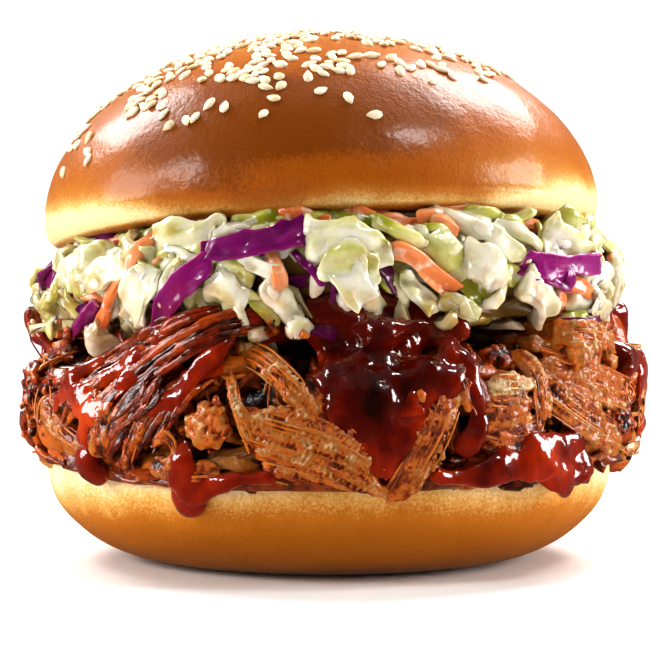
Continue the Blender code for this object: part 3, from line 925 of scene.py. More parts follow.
def layPork(rng, thin, bigChunks, glazed, threads):
    # what lies in front, piece by piece
    wide = straightBlank(52, 40)
    strand = straightBlank(10, 28)
    for number, (points, width, thick, tone) in enumerate(chunks):
        spots = spotsOf(points)
        soaked = 0.55 * glazeAt(spots[len(spots) // 2])
        layAlong(bigChunks, wide, spots, width * 0.86, thick * 0.7, tone - 0.06, ends=(0.22, 0.2),
                 blunt=0.55, endSize=0.1, ridge=0.16, ridgeSize=1.8, fray=2.0, uneven=0.3, crinkle=0.8,
                 toneSpread=0.12, glaze=soaked, slant=askew(rng, 0.6), seed=number * 1.7)
        addBundle(bigChunks, strand, spots, width, thick, tone, soaked, rng)
        for _ in range(int(3 + 0.9 * width)):
            addThread(threads, thin, spots, width, thick, tone, rng)
    # these aren't fused with the rest, so that each fine strand keeps its own highlights
    for points, width in glazedStrands:
        addBundle(glazed, strand, spotsOf(points), width, width * 0.6, tone=0.46, glaze=0.72, rng=rng,
                  apart=0.95)
    ball = ballBlank(4)
    for number, (azimuth, height, out, size, tone) in enumerate(nuggets):
        spot = onStack(azimuth, height, out - 1)
        addLump(bigChunks, ball, spot, size, tone, rough=0.13, grain=2.0, glaze=0.7 * glazeAt(spot) + 0.1,
                seed=number * 2.3)


def scatterPork(rng, thin, shreds, threads):
    medium = straightBlank(14, 13)
    for number in range(pork["shreds"]):
        azimuth = rng.uniform(-180, 180)
        height = rng.triangular(23, 49, 35)
        length = rng.uniform(8, 20)
        slope = rng.gauss(0, 38) + (90 if rng.random() < 0.35 else 0)
        if rng.random() < pork["resting"]:
            height = rng.uniform(20.5, 24)
            length = rng.uniform(5, 12)
            slope = rng.gauss(0, 12)
        width = rng.triangular(1.4, 6.5, 2.4)
        tone = rng.choice((0.3, 0.4, 0.48, 0.56, 0.58, 0.64, 0.72, 0.8))
        depth = rng.uniform(-3.0, 0.6) - (1.0 if abs(azimuth) < 75 else 0)
        depth -= 2.5 * math.exp(-((azimuth - 10) / 12) ** 2) * smoothStep(24, 32, height)
        spots = tangentPath(azimuth, height, length, slope, sag=rng.uniform(-1, 2.5),
                            outs=(depth - 0.6, depth + rng.uniform(0, 1.4), depth - 0.6))
        layAlong(shreds, medium, spots, width, width * rng.uniform(0.4, 0.75), tone, ends=(0.25, 0.25),
                 blunt=0.6, ridge=0.3, ridgeSize=1.1, fray=3, uneven=0.35, crinkle=0.7,
                 roll=rng.uniform(-50, 50), toneEnds=-0.06, toneSpread=0.14, glaze=glazeAt(spots[1]),
                 seed=number * 0.37)
        if number % 2 == 0:
            addThread(threads, thin, spots, width, width * 0.6, tone, rng)
    for number in range(pork["threads"]):
        azimuth = rng.uniform(-180, 180)
        height = rng.triangular(23, 48, 34)
        spots = tangentPath(azimuth, height, rng.uniform(3, 11), rng.uniform(-90, 90),
                            sag=rng.uniform(-2, 2),
                            outs=(rng.uniform(-1, 1), rng.uniform(0, 2.2), rng.uniform(-1, 1)))
        layAlong(threads, thin, spots, rng.uniform(0.3, 1.0), rng.uniform(0.3, 0.6),
                 rng.choice((0.36, 0.5, 0.56, 0.6, 0.66, 0.74)), ends=(0.2, 0.2), uneven=0.3,
                 glaze=0.3 * glazeAt(spots[1]), seed=number * 0.53)
    crumb = ballBlank(2)
    for number in range(pork["crumbs"]):
        spot = onStack(rng.uniform(-180, 180), rng.triangular(20, 49, 32), rng.uniform(-0.5, 2.8))
        size = rng.triangular(0.6, 2.4, 0.9)
        addLump(threads, crumb, spot, (size, size * rng.uniform(0.7, 1.4), size),
                rng.choice((0.1, 0.35, 0.5, 0.7)), rough=0.3, grain=0.9, seed=number * 1.3,
                glaze=rng.random() * 0.8)


def makePork():
    rng = random.Random(pork["seed"])
    material = meatMaterial("pulled pork shoulder")
    makePorkCore(material)
    thin = straightBlank(6, 11)
    bigChunks, glazed, shreds, threads = (emptyShape() for _ in range(4))
    layPork(rng, thin, bigChunks, glazed, threads)
    scatterPork(rng, thin, shreds, threads)
    # the chunks fuse where they touch, and their fibres stand out again as fine ridges
    fused = remeshed(bigChunks, pork["voxel"], 2)
    toneLayer, _, restLayer = layersOf(fused)
    for vert, normal in withNormals(fused):
        spot = vert.co / mm
        rest = vert[restLayer] / mm
        push = pork["ridges"] * wave(rest.x, rest.y, rest.z / 7) + pork["lumps"] * noise.noise(spot / 2.6)
        # the tone follows the relief, darker in the grooves and lighter on the ridges: painted shade and
        # painted light
        vert[toneLayer] += 0.62 * push
        vert.co += normal * (push + pork["pits"] * noise.noise(spot / 1.1)) * mm
    parts = {"pork_chunks": fused, "pork_glazed": glazed, "pork_shreds": shreds, "pork_threads": threads}
    for name, shape in parts.items():
        addPiece(name, shape, material)


# Barbecue sauce

sauceRuns = (  # points (azimuth, height, mm proud), widths at start and end, thickness
    (((-1, 51, 0.5), (0.5, 44, 2.5), (3, 36.5, 3.2), (6, 29, 3.4), (9, 24, 2.8)), (9, 8), 4.6),
    (((5, 52, 1.0), (7, 44, 3.2), (9, 36, 4.0), (10.5, 29, 4.2), (10, 23.6, 3.6)), (10, 8.5), 5.4),
    (((11, 52, 1.0), (13, 45, 3.4), (14, 39, 3.8), (13.5, 32, 2.6)), (10, 7), 5.0),
    (((17, 52, 1.5), (19, 46, 3.4), (20, 40, 3.4), (19.5, 35, 2.0)), (8, 5), 4.4),
    (((23, 50.5, 1.5), (24.5, 46, 3.0), (25.5, 41, 2.2)), (6, 4), 3.6),
    (((-5, 48.5, -1.0), (5, 50, 0.0), (15, 50, 0.2), (27, 48, -1.0)), (11, 9), 3.0),
    (((22, 43, 2.5), (24.5, 37, 3.6), (24.8, 30, 3.4), (23, 25, 2.0)), (4.4, 3.0), 3.2),
    (((17, 21.5, 1.0), (24, 21, 2.6), (31, 22, 3.2), (39, 23.2, 3.4), (46, 22.6, 3.2), (49, 20.2, 2.4)),
     (3.5, 8), 4.8),
    (((28, 25.5, 1.5), (36, 26.5, 2.8), (45, 25, 2.2)), (4, 6), 4.0),
    (((43, 25, 2.5), (49, 28, 2.2), (52, 31, 0.5)), (5, 3.4), 3.4),
    (((-7, 49, 0.5), (-17, 43.5, 2.8), (-28, 36, 4.4), (-37, 26.5, 3.0)), (4.4, 2.8), 2.2),
    (((-13, 51, 0.5), (-24, 45, 3.0), (-36, 38, 4.6), (-45, 29, 2.8)), (5.4, 3.2), 2.4),
    (((-18, 52, 0.5), (-27, 48, 2.8), (-38, 41.5, 4.4), (-48, 34.5, 3.0)), (6, 3.6), 2.6),
    (((-17, 47, 1.0), (-24, 38, 4.2), (-28.5, 28, 3.2)), (4.0, 2.2), 2.2),
    (((-33, 47, 1.0), (-43, 43.5, 3.4), (-51, 38, 3.4), (-56, 31, 1.8)), (4.4, 3.0), 2.4),
    (((-38, 36, 2.6), (-44, 31.5, 3.2), (-47, 26, 2.2)), (4, 4), 2.6),
    (((-12, 49, 1.2), (-21, 48.5, 2.8), (-31, 49, 1.6)), (5, 5), 2.4),
    (((-27, 20.5, 1.4), (-21, 19.6, 2.6), (-15, 20.4, 2.4), (-9, 21.6, 1.2)), (6, 3), 3.4),
    (((-26, 28, 2.5), (-25, 24, 3.0), (-25.5, 19, 2.4)), (5, 7), 4.0),
)
sauceLumps = (  # meat under the glaze: azimuth, height, mm proud, (width, height, depth)
    (4, 46, 3.6, (9, 6, 6)), (21, 43, 4.0, (6, 9, 6)), (14, 34, 4.8, (6, 10, 6)),
    (3, 31, 3.6, (6, 8, 5)), (7, 34, 4.8, (7, 6, 6)), (12, 29, 4.8, (6, 7, 6)),
    (8, 26.5, 4.4, (8, 6, 6)), (16, 38, 4.8, (7, 8, 6)), (12, 44, 3.0, (9, 9, 5)),
    (17, 40.5, 3.4, (8, 8, 5)), (5, 38, 2.8, (7, 9, 5)), (10, 48, 2.6, (12, 5, 5)),
    (10, 25, 3.4, (9, 7, 5)), (47, 21, 2.4, (9, 7, 5)), (-47, 34, 2.2, (10, 7, 5)),
    (-32, 41, 2.6, (8, 6, 4)), (-24, 46, 2.4, (9, 6, 4)), (21, 46, 2.8, (7, 6, 4)),
    (38, 22.5, 2.4, (12, 6, 4)),
)
sauce = {
    "voxel": 0.64, "smoothing": 3, "lumps": 1.6, "seed": 21,
    # behind, sauce runs down round these azimuths, over so many degrees to each side
    "backRuns": ((-170, 12), (-140, 9), (-100, 8), (80, 11), (115, 14), (150, 9)),
    "runsEach": 6, "top": 52,
    "pool": (9, 9, 35, 14),  # the darkest part: azimuth, degrees to each side, height, mm up and down
    "colors": ("#b83e05", "#8a2002", "#560d01", "#270400", "#0e0201"),
}


def sauceMaterial():
    # Tomato and molasses sauce, boiled down: a thick wet glaze, near black where deep, red where thin
    material, tree, shader = newMaterial(
        "boiled down barbecue sauce", Roughness=0.16, IOR=1.45, Coat_Weight=0.9, Coat_Roughness=0.03)
    place = addNode(tree, "ShaderNodeTexCoord").outputs["Object"]
    deep = addNode(tree, "ShaderNodeAttribute", {"attribute_name": "tone"}).outputs["Fac"]
    # streaks 1.6 mm wide that run down
    flow = addNode(tree, "ShaderNodeMapping", values={"Scale": (1000 / 1.6, 1000 / 1.6, 1000 / 8)},
                   links={"Vector": place}).outputs["Vector"]
    streak = addNode(tree, "ShaderNodeTexNoise", values={"Scale": 1.0, "Detail": 3},
                     links={"Vector": flow}).outputs["Fac"]
    swirl, ripples = (
        addNode(tree, "ShaderNodeTexNoise", values={"Scale": 1000 / size, "Detail": detail},
                links={"Vector": place}).outputs["Fac"] for size, detail in ((5, 4), (3, 2)))
    for part, strength in ((swirl, 0.6), (streak, 0.12)):
        deep = addNode(tree, "ShaderNodeMath", {"operation": "MULTIPLY_ADD"}, values={1: strength},
                       links={0: part, 2: deep}).outputs[0]
    stops = tuple(zip((0.22, 0.42, 0.64, 0.88, 1.0), sauce["colors"]))
    color = addNode(tree, "ShaderNodeValToRGB", links={"Fac": deep}, stops=stops).outputs["Color"]
    tree.links.new(color, shader.inputs["Base Color"])
    relief = addNode(tree, "ShaderNodeMath", {"operation": "MULTIPLY_ADD"}, values={1: 0.2},
                     links={0: streak, 2: ripples}).outputs[0]
    bump = addNode(tree, "ShaderNodeBump", values={"Strength": 0.5, "Distance": 0.6 * mm},
                   links={"Height": relief})
    for socket in ("Normal", "Coat Normal"):
        tree.links.new(bump.outputs["Normal"], shader.inputs[socket])
    return material


def underSlaw(height):
    # how far in the sauce lies where slaw covers it. Both in mm
    return 5 * smoothStep(45, 51, height)


def makeSauce():
    rng = random.Random(sauce["seed"])
    material = sauceMaterial()
    rope = straightBlank(18, 22)
    pools = emptyShape()
    for number, (points, widths, thick) in enumerate(sauceRuns):
        spots = [onStack(azimuth, height, out - underSlaw(height)) for azimuth, height, out in points]
        layAlong(pools, rope, spots, widths, thick, ends=(0.16, 0.12), endSize=0.3, ridge=0.55,
                 ridgeSize=2.0, uneven=0.25, seed=number * 3.1)
    ball = ballBlank(4)
    for number, (azimuth, height, out, size) in enumerate(sauceLumps):
        spot = onStack(azimuth, height, out - 1 - underSlaw(height))
        addLump(pools, ball, spot, size, 0.5, rough=0.3, grain=1.8, seed=number * 1.9)
    top = sauce["top"]
    for azimuth, half in sauce["backRuns"]:
        for number in range(sauce["runsEach"]):
            start = azimuth + rng.uniform(-half, half)
            drift = rng.uniform(-9, 9)
            bottom = rng.uniform(24, 40)
            points = [(start + drift * i / 3, top + (bottom - top) * i / 3, out)
                      for i, out in enumerate((0, 2, 2.4, 1.6))]
            widths = (rng.uniform(5, 9), rng.uniform(3, 6))
            layAlong(pools, rope, spotsOf(points), widths, rng.uniform(3, 4.4), ends=(0.2, 0.16),
                     endSize=0.2, ridge=0.55, ridgeSize=2.0, uneven=0.25, seed=azimuth + number * 3.1)
    skin = remeshed(pools, sauce["voxel"], sauce["smoothing"])
    porkTree = treeOf("pulled_pork", "bun_heel")
    toneLayer = layersOf(skin)[0]
    middle, around, level, tall = sauce["pool"]
    for vert, normal in withNormals(skin):
        apart = porkTree.find_nearest(vert.co)[3] / mm
        spot = vert.co / mm
        azimuth = math.degrees(azimuthOf(spot))
        pooled = math.exp(-((azimuth - middle) / around) ** 2 - ((spot.z - level) / tall) ** 2)
        # deep sauce is dark, and darkest in the middle of the front; the thin runs on the left are red
        vert[toneLayer] = min(0.22, 0.1 * apart - 0.14) + 0.27 * pooled - 0.1 * smoothStep(-6, -16, azimuth)
        bumps = noise.noise(spot / 6.0) + 0.2 * noise.noise(spot / 2.4)
        vert.co += normal * sauce["lumps"] * bumps * mm
    addPiece("sauce_coat", skin, material, ["barbecue_sauce"])
    drips = {
        "sauce_drip_left": (((-47, 26, 1.0), (-47, 22.5, 2.0), (-45.5, 18.4, 1.4)), (4.5, 7.5), 4.6),
        "sauce_drip_middle": (((-25, 23, 1.2), (-25.5, 18.5, 2.6), (-25.5, 13.2, 1.8)), (5.5, 9.0), 5.6),
        "sauce_drip_right": (((37, 21, 1.0), (43, 20, 2.2), (48, 18.3, 1.6)), (5, 8.5), 4.8),
    }
    fine = straightBlank(28, 26)
    for name, (points, widths, thick) in drips.items():
        shape = emptyShape()
        layAlong(shape, fine, spotsOf(points), widths, thick, tone=0.12, ends=(0.3, 0.34), uneven=0.08)
        addPiece(name + "_gloss", shape, material, [name])


# Coleslaw

slaw = {
    # how many of each there are besides those in front; strips are longer pieces of cabbage
    "cabbage": 190, "strips": 90, "red": 26, "carrot": 34, "green": 26, "dressing": 60, "underRim": 110,
    "inward": 3.2, "sink": 3.6, "voxel": 0.45, "soaked": "#d99a62", "cream": "#f0eada", "seed": 9,
}

slawLooks = {
    "cabbage": dict(boxy=0.66, uneven=0.46, crinkle=2.1, ripple=3.0, endSize=0.5, ends=(0.16, 0.16),
                    toneSpread=0.5),
    "red": dict(boxy=0.6, uneven=0.3, crinkle=1.7, ripple=2.6, endSize=0.6, ends=(0.1, 0.1),
                toneEnds=0.3, toneEdges=0.1),
    "carrot": dict(boxy=0.6, uneven=0.3, crinkle=0.6, ridge=0.3, ridgeSize=1.3, endSize=0.5,
                   ends=(0.12, 0.12), toneSpread=0.4),
    "green": dict(boxy=0.7, uneven=0.4, crinkle=1.2, ripple=2.8, endSize=0.4, ends=(0.2, 0.2),
                  toneSpread=0.7),
}

# points (azimuth, height, mm proud), width, thickness, tone
cabbageFront = (
    (((-61, 57.5, 0.5), (-53, 61, 2.0), (-46, 63.5, 1.5)), 6.5, 2.6, 0.1),
    (((-51, 55.5, 1.5), (-44, 58.5, 2.8), (-38, 60, 1.5)), 6.8, 3.0, 0.1),
    (((-33, 59.5, 1.2), (-35, 55, 2.6), (-37.5, 49.5, 1.8)), 7.0, 2.8, 0.12),
    (((-35, 63.5, 0.5), (-27, 65, 2.2), (-19.5, 66, 1.0)), 7.4, 2.6, 0.3),
    (((-26.5, 60.5, 1.0), (-29.5, 56, 2.0), (-31, 51, 1.6)), 2.8, 2.0, 0.15),
    (((-73, 51, 0.5), (-67, 53.5, 1.2), (-61, 55, 0.5)), 4.2, 2.4, 0.5),
    (((-22, 65, 1.0), (-16, 67, 2.4), (-10.5, 67, 1.2)), 3.0, 2.0, 0.05),
    (((-16, 61.8, 1.5), (-12.5, 60, 2.8), (-9, 58.5, 2.2)), 5.0, 2.8, 0.05),
    (((-11.5, 57, 1.5), (-8, 53, 3.0), (-5.5, 49.5, 2.6)), 6.4, 3.8, 0.0),
    (((-4, 63, 1.0), (3, 64.5, 3.0), (11, 61.5, 2.4)), 8.5, 4.2, 0.12),
    (((-1, 60, 1.5), (4, 60.5, 3.2), (8, 58.5, 2.0)), 6.5, 4.0, 0.25),
    (((1.5, 59, 2.0), (4, 56, 3.0), (5.5, 52.8, 2.6)), 7.0, 3.4, 0.02),
    (((-20.5, 58, 0.5), (-18, 55, 1.6), (-15.5, 51.5, 1.8)), 6.5, 2.8, 0.08),
    (((-20, 61, 0.0), (-17, 58.5, 1.0), (-15, 56, 0.5)), 6.0, 2.4, 0.4),
    (((-13, 53.5, 1.2), (-11.5, 51, 2.0), (-10, 48.5, 1.4)), 3.2, 1.8, 0.6),
    (((-15.5, 48, 1.0), (-13, 46.5, 2.2), (-12, 44, 1.8)), 3.6, 2.0, 0.1),
    (((-9.5, 45.5, 1.8), (-7, 47.5, 2.8), (-4, 49, 1.8)), 4.4, 2.2, 0.02),
    (((17.5, 65, 1.0), (21, 61.5, 2.6), (24.5, 57, 1.2)), 8.0, 3.0, 0.35),
    (((20.5, 69.5, 0.5), (30, 66, 2.4), (38, 60.5, 1.6)), 5.6, 2.4, 0.08),
    (((24.5, 62, 1.5), (29.5, 56.5, 3.4), (36.5, 46.5, 2.8)), 7.0, 3.0, 0.0),
    (((20, 54, 1.5), (24, 52.5, 2.6), (29, 51, 1.4)), 4.6, 2.6, 0.45),
    (((38, 57, 1.8), (41.5, 54, 3.4), (44, 50, 2.4)), 8.4, 4.0, 0.02),
    (((39.5, 48.8, 1.2), (41.5, 47, 2.4), (44, 45, 1.6)), 4.4, 2.4, 0.05),
    (((50, 53.5, 1.2), (58, 52.5, 2.6), (69, 50, 1.4)), 5.2, 2.6, 0.1),
    (((44, 66, 0.5), (50, 64, 2.0), (57, 61, 1.0)), 8.2, 2.4, 0.3),
    (((34, 68, 0.5), (38, 66, 1.8), (42.5, 63, 1.0)), 4.2, 2.2, 0.2),
    (((31, 60, 0.8), (35, 58.5, 2.0), (39, 56.5, 1.0)), 5.5, 2.6, 0.5),
    (((12.5, 57.5, 1.0), (16, 54.5, 2.0), (19.5, 51.5, 1.2)), 3.8, 2.2, 0.25),
    (((-50.5, 48.5, 1.5), (-48.5, 45.5, 2.6), (-45.5, 43.5, 2.4)), 4.6, 2.8, 0.0),
    (((-46, 43.5, 2.2), (-48, 41.5, 2.4), (-51, 39.5, 1.2)), 2.8, 1.8, 0.2),
    (((-44, 64.5, 0.2), (-40, 63, 1.4), (-37, 60.5, 0.8)), 5.2, 2.2, 0.2),
)
redFront = (
    (((-20.5, 60.5, 2.0), (-26, 56.5, 3.8), (-30, 51, 4.0), (-30.5, 46.5, 3.0)), 5.4, 1.5, 0.45),
    (((-22.5, 62.3, 2.2), (-13, 63.8, 4.0), (-3, 66.2, 3.0)), 5.4, 1.5, 0.35),
    (((-48.5, 52.5, 1.5), (-53, 49.5, 3.0), (-58.5, 46, 2.2)), 3.0, 1.3, 0.5),
    (((-51, 52.5, 1.0), (-54, 51, 1.8), (-56, 49, 1.0)), 2.2, 1.2, 0.2),
    (((-6.5, 62.5, 1.5), (-3.5, 59.5, 2.2), (-1, 56, 1.2)), 1.6, 1.0, 0.4),
    (((37.5, 61, 2.0), (46, 60.5, 4.2), (58, 61, 3.4)), 4.8, 1.3, 0.55),
    (((38.5, 58.5, 2.0), (43.5, 57.2, 3.6), (47.5, 56.3, 3.8), (47.5, 59.5, 3.4)), 3.2, 1.2, 0.45),
    (((48, 48.6, 1.2), (56, 48.9, 2.6), (65, 48, 1.4)), 2.4, 1.1, 0.25),
    (((46.5, 52.5, 1.0), (48, 51.8, 1.4), (49.5, 51, 1.0)), 2.2, 1.2, 0.4),
    (((9, 60, 0.5), (10.5, 57.5, 1.0), (12, 55, 0.5)), 3.0, 1.3, 0.1),
)
carrotFront = (
    (((-35.5, 66, 1.0), (-36.5, 61.5, 2.4), (-37.5, 56, 1.6)), 3.6, 2.4, 0.6),
    (((-38.5, 59, 0.6), (-43, 54, 1.6), (-50, 47.5, 0.8)), 3.4, 2.2, 0.45),
    (((-10.5, 62.5, 1.2), (-9, 58.5, 3.0), (-8.5, 53.5, 2.4)), 3.0, 2.4, 0.75),
    (((10.5, 63.5, 1.4), (15.5, 60.8, 3.2), (23, 55.3, 2.2)), 3.8, 2.4, 0.5),
    (((48, 57.5, 0.8), (54, 55.5, 2.2), (61, 53, 1.4)), 3.8, 2.4, 0.6),
    (((20, 68.5, 0.8), (22, 67.5, 1.8), (24.5, 66, 0.8)), 3.2, 2.2, 0.55),
    (((46, 55, 0.8), (48, 53.5, 1.6), (50, 51.5, 0.8)), 2.4, 2.0, 0.6),
)
greenFront = (
    (((8, 69, 0.6), (12.5, 66, 2.4), (17.5, 63.5, 1.8)), 3.2, 1.6, 0.6),
    (((17, 66.3, 1.2), (20, 66.8, 2.2), (22.5, 66, 1.2)), 2.4, 1.4, 0.5),
    (((25, 58, 1.0), (27, 55.5, 2.2), (29.5, 53, 1.4)), 5.2, 1.6, 0.3),
    (((-16, 55.5, 1.0), (-14.5, 54.5, 2.0), (-13, 53, 1.2)), 2.8, 1.6, 0.7),
    (((40.5, 65, 0.6), (41.5, 63.5, 1.8), (42, 61.5, 1.0)), 3.0, 1.4, 0.6),
    (((36, 68, 0.3), (38, 67.5, 1.2), (39.5, 65.5, 0.4)), 3.2, 1.4, 0.4),
    (((-71, 50.5, 0.6), (-70.5, 48, 1.2), (-69, 45.5, 0.6)), 2.0, 1.2, 0.7),
)


def vegetableMaterial(name, stops, coat, dressing, relief=0.35):
    # Raw shredded vegetable, wet with dressing that lies cream white over part of it: the higher the
    # dressing value, the more it covers
    material, tree, shader = newMaterial(
        name, Roughness=0.3, IOR=1.4, Coat_Weight=coat, Coat_Roughness=0.06,
        Subsurface_Weight=0.3, Subsurface_Scale=0.0018, Subsurface_Radius=(1.0, 0.8, 0.5))
    place = addNode(tree, "ShaderNodeTexCoord").outputs["Object"]
    rest = addNode(tree, "ShaderNodeAttribute", {"attribute_name": "rest"}).outputs["Vector"]
    tone = addNode(tree, "ShaderNodeAttribute", {"attribute_name": "tone"}).outputs["Fac"]
    # veins 1.2 mm apart
    grain = addNode(tree, "ShaderNodeMapping", values={"Scale": (1000 / 1.2, 1000 / 1.2, 1000 / 9)},
                    links={"Vector": rest}).outputs["Vector"]
    vein = addNode(tree, "ShaderNodeTexNoise", values={"Scale": 1.0, "Detail": 2},
                   links={"Vector": grain}).outputs["Fac"]
    patch, smear, film = (
        addNode(tree, "ShaderNodeTexNoise", values={"Scale": 1000 / size, "Detail": detail},
                links={"Vector": place}).outputs["Fac"] for size, detail in ((4.5, 3), (3.2, 2), (3.4, 1)))
    for part, strength in ((vein, 0.3), (patch, 0.5)):
        tone = addNode(tree, "ShaderNodeMath", {"operation": "MULTIPLY_ADD"}, values={1: strength},
                       links={0: part, 2: tone}).outputs[0]
    tone = addNode(tree, "ShaderNodeMath", {"operation": "SUBTRACT"}, values={1: 0.33},
                   links={0: tone}).outputs[0]
    fresh = addNode(tree, "ShaderNodeValToRGB", links={"Fac": tone}, stops=stops).outputs["Color"]
    # sauce and fat have soaked into the lower shreds
    height = addNode(tree, "ShaderNodeSeparateXYZ", links={"Vector": place}).outputs["Z"]
    low = addNode(tree, "ShaderNodeMapRange", links={"Value": height}, values={
        "From Min": 62 * mm, "From Max": 46 * mm, "To Min": -0.1, "To Max": 0.5}).outputs["Result"]
    blots = addNode(tree, "ShaderNodeMath", {"operation": "MULTIPLY_ADD"}, values={1: 2.0, 2: -1.0},
                    links={0: patch}).outputs[0]
    soaked = addNode(tree, "ShaderNodeMath", {"operation": "ADD", "use_clamp": True},
                     links={0: low, 1: blots}).outputs[0]
    stained = addNode(tree, "ShaderNodeMix", {"data_type": "RGBA", "blend_type": "MULTIPLY"},
                      values={"B": hexColor(slaw["soaked"])}, links={"Factor": soaked, "A": fresh})
    covered = addNode(tree, "ShaderNodeMapRange", links={"Value": smear}, values={
        "From Min": 0.58 - dressing, "From Max": 0.78 - dressing}).outputs["Result"]
    mix = addNode(tree, "ShaderNodeMix", {"data_type": "RGBA"}, values={"B": hexColor(slaw["cream"])},
                  links={"Factor": covered, "A": stained.outputs["Result"]})
    tree.links.new(mix.outputs["Result"], shader.inputs["Base Color"])
    folds = addNode(tree, "ShaderNodeMath", {"operation": "MULTIPLY_ADD"}, values={1: 0.5},
                    links={0: vein, 2: smear}).outputs[0]
    # the runny part of the dressing smooths over the folds, so it glints
    bumps = ((folds, relief, 0.6, "Normal"), (film, 0.7, 0.9, "Coat Normal"))
    for height, strength, deep, socket in bumps:
        bump = addNode(tree, "ShaderNodeBump", values={"Strength": strength, "Distance": deep * mm},
                       links={"Height": height})
        tree.links.new(bump.outputs["Normal"], shader.inputs[socket])
    return material


def slawMaterials():
    return {
        # the stalk end is cream, thinner leaf yellow green
        "cabbage": vegetableMaterial("white cabbage in dressing", (
            (0.0, "#e0d8c4"), (0.35, "#cfc998"), (0.6, "#b9b45e"), (0.85, "#a09c32"), (1.0, "#86841c")),
            coat=1.0, dressing=-0.02),
        # purple skin over a pale cut edge, waxy and shiny
        "red": vegetableMaterial("red cabbage", (
            (0.0, "#38022a"), (0.35, "#650350"), (0.65, "#8c0c6c"), (0.85, "#b84c96"), (1.0, "#ecc6da")),
            coat=0.7, dressing=-0.2, relief=0.5),
        # rough grated faces, orange, paler where dry
        "carrot": vegetableMaterial("grated carrot", (
            (0.0, "#c8632a"), (0.5, "#e5864a"), (1.0, "#f2b084")),
            coat=0.6, dressing=0.02, relief=0.6),
        # green leaf, cream towards its rib
        "green": vegetableMaterial("outer cabbage leaf", (
            (0.0, "#737a0a"), (0.4, "#a5a526"), (0.7, "#d2cc80"), (1.0, "#ebe2be")),
            coat=0.6, dressing=-0.02),
        # thick, smooth and cream white
        "dressing": vegetableMaterial("mayonnaise dressing", (
            (0.0, "#ece6d6"), (1.0, "#e2d9c0")), coat=0.9, dressing=0.0, relief=0.25),
    }


def slawHeight(rng, azimuth):
    # heights between the pork's shoulder and the crown, which leans
    angle = math.radians(azimuth)
    raised = 5 * smoothStep(-38, -56, azimuth) * smoothStep(-100, -80, azimuth)
    low = 46 + 2 * wave(azimuth / 20, 7.7) + raised
    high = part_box("coleslaw")[1].z / mm - 6 + 4.4 * math.cos(angle) + 2.6 * math.sin(angle)
    return rng.uniform(low, high)


def makeSlawCore():
    core = coreOf("coleslaw")
    toneLayer = layersOf(core)[0]
    for vert, normal in withNormals(core):
        low = smoothStep(52, 46, vert.co.z / mm)
        vert.co += normal * (0.8 * noise.noise(vert.co / (3 * mm)) - slaw["sink"]) * mm
        vert.co += awayFromAxis(vert.co) * -5 * low * mm
        outer = smoothStep(40, 55, vert.co.xy.length / mm)
        vert.co -= awayFromAxis(vert.co) * 2.5 * outer * mm
        vert[toneLayer] = 0.4
    shade = vegetableMaterial("slaw in shade", ((0.0, "#5a3a14"), (1.0, "#8f7434")),
                              coat=0.1, dressing=-0.3)
    addPiece("slaw_core", core, shade, ["coleslaw"])


def laySlaw(rng, shapes):
    # what lies in front, piece by piece
    chip = straightBlank(26, 18)
    cream = straightBlank(10, 8)
    fronts = {"cabbage": cabbageFront, "red": redFront, "carrot": carrotFront, "green": greenFront}
    for key, front in fronts.items():
        for number, (points, width, thick, tone) in enumerate(front):
            spots = spotsOf(points, slaw["inward"])
            layAlong(shapes[key], chip, spots, (width * 0.94, width * rng.uniform(0.7, 1.05)), thick, tone,
                     roll=rng.uniform(-28, 28), curl=rng.uniform(-0.4, 0.6), slant=askew(rng, 0.5),
                     seed=number * 1.9 + 4, within=slawReach, **slawLooks[key])
            if key == "cabbage" and number % 2 == 0:
                along = rng.uniform(0.1, 0.4)
                proud = outwardAt(points[1][0]) * thick * 0.32 * mm
                smear = [splinePoint(spots, along + 0.2 * i) + proud for i in range(3)]
                layAlong(shapes["dressing"], cream, smear, width * rng.uniform(0.3, 0.6), thick * 0.7, 0.3,
                         ends=(0.4, 0.35), uneven=0.5, crinkle=0.6, within=slawReach, seed=number * 2.2)


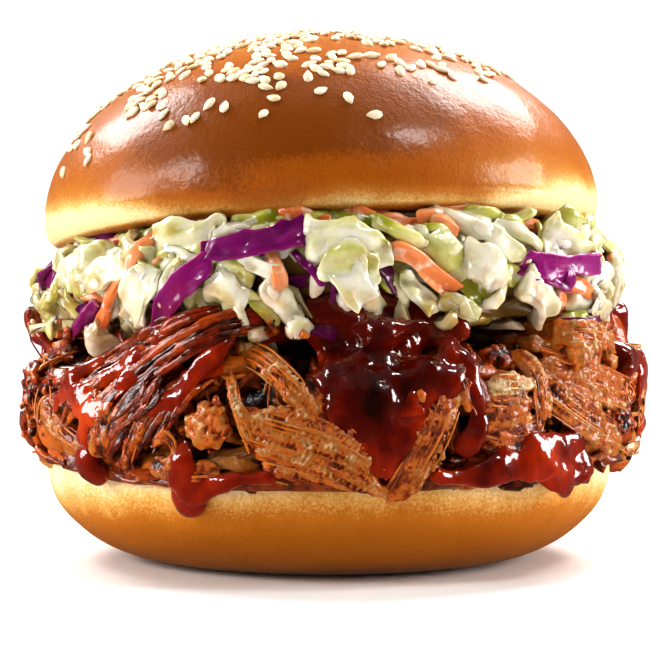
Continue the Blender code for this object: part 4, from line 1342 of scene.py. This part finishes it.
def scatterSlaw(rng, shapes):
    small = straightBlank(14, 9)
    # how many, then the ranges of length, width, thickness and tone
    kinds = (
        ("cabbage", slaw["cabbage"], (4, 10), (2.6, 6.0), (1.8, 3.0), (0.0, 0.45)),
        ("cabbage", slaw["strips"], (9, 20), (1.6, 3.2), (1.2, 2.0), (0.0, 0.55)),
        ("red", slaw["red"], (8, 17), (2.0, 4.5), (1.0, 1.4), (0.2, 0.5)),
        ("carrot", slaw["carrot"], (8, 16), (1.8, 3.2), (1.6, 2.2), (0.3, 0.8)),
        ("green", slaw["green"], (5, 11), (2.0, 4.5), (1.0, 1.6), (0.2, 0.8)),
    )
    for key, count, lengths, widths, thicks, tones in kinds:
        for number in range(count):
            azimuth = rng.uniform(-180, 180)
            buried = -1.4 if abs(azimuth) < 72 else 0.0
            depth = rng.uniform(-2.2, 1.0) + buried - slaw["inward"]
            spots = tangentPath(azimuth, slawHeight(rng, azimuth), rng.uniform(*lengths),
                                rng.uniform(-90, 90),
                                outs=(depth - 0.5, depth + rng.uniform(0, 1.2), depth - 0.5))
            layAlong(shapes[key], small, spots, rng.uniform(*widths), rng.uniform(*thicks),
                     rng.uniform(*tones), curl=rng.uniform(-0.35, 0.4), roll=rng.uniform(-50, 50),
                     slant=askew(rng, 0.5), seed=number * 0.77, within=slawReach, **slawLooks[key])
    # what is squeezed up under the crown's rim, which rises to the front and to the right
    for number in range(slaw["underRim"]):
        azimuth = rng.uniform(-180, 180)
        angle = math.radians(azimuth)
        rise = 4.6 * math.cos(angle) + 2.6 * math.sin(angle)
        centre = outwardAt(azimuth) * rng.uniform(50, 54.5) * mm
        centre += up * (crown["base"] + rise - rng.uniform(0.6, 3.4)) * mm
        along = outwardAt(azimuth + 90) * rng.uniform(2.5, 6) * mm
        tilt = up * rng.uniform(-1.2, 1.2) * mm
        key = rng.choice(("cabbage", "cabbage", "red" if azimuth < 10 else "cabbage", "carrot", "green"))
        points = [centre - along - tilt, centre + outwardAt(azimuth) * mm, centre + along + tilt]
        layAlong(shapes[key], small, points, rng.uniform(2, 4), rng.uniform(1.4, 2.2),
                 rng.uniform(0.1, 0.7), roll=rng.uniform(-40, 40), seed=number * 1.3, within=slawReach,
                 **slawLooks[key])


def makeSlaw():
    rng = random.Random(slaw["seed"])
    makeSlawCore()
    materials = slawMaterials()
    shapes = {key: emptyShape() for key in materials}
    laySlaw(rng, shapes)
    scatterSlaw(rng, shapes)
    ball = ballBlank(3)
    for number in range(slaw["dressing"]):
        azimuth = rng.uniform(-180, 180)
        size = rng.uniform(2, 4.5)
        spot = onStack(azimuth, slawHeight(rng, azimuth), rng.uniform(-1.8, -0.2) - slaw["inward"])
        addLump(shapes["dressing"], ball, spot, (size, size * rng.uniform(1, 1.8), size * 0.7), 0.0,
                rough=0.2, grain=2.4, seed=number * 1.1, within=slawReach)
    shapes["dressing"] = remeshed(shapes["dressing"], slaw["voxel"], 2)
    for key, shape in shapes.items():
        addPiece("slaw_" + key, shape, materials[key])


makeCamera()
makeStudio()
print("studio ready")
crustTree = makeCrown()
makeHeel()
makeSeeds(crustTree)
print("bun ready")
makePork()
makeSauce()
makeSlaw()
print("filling ready")
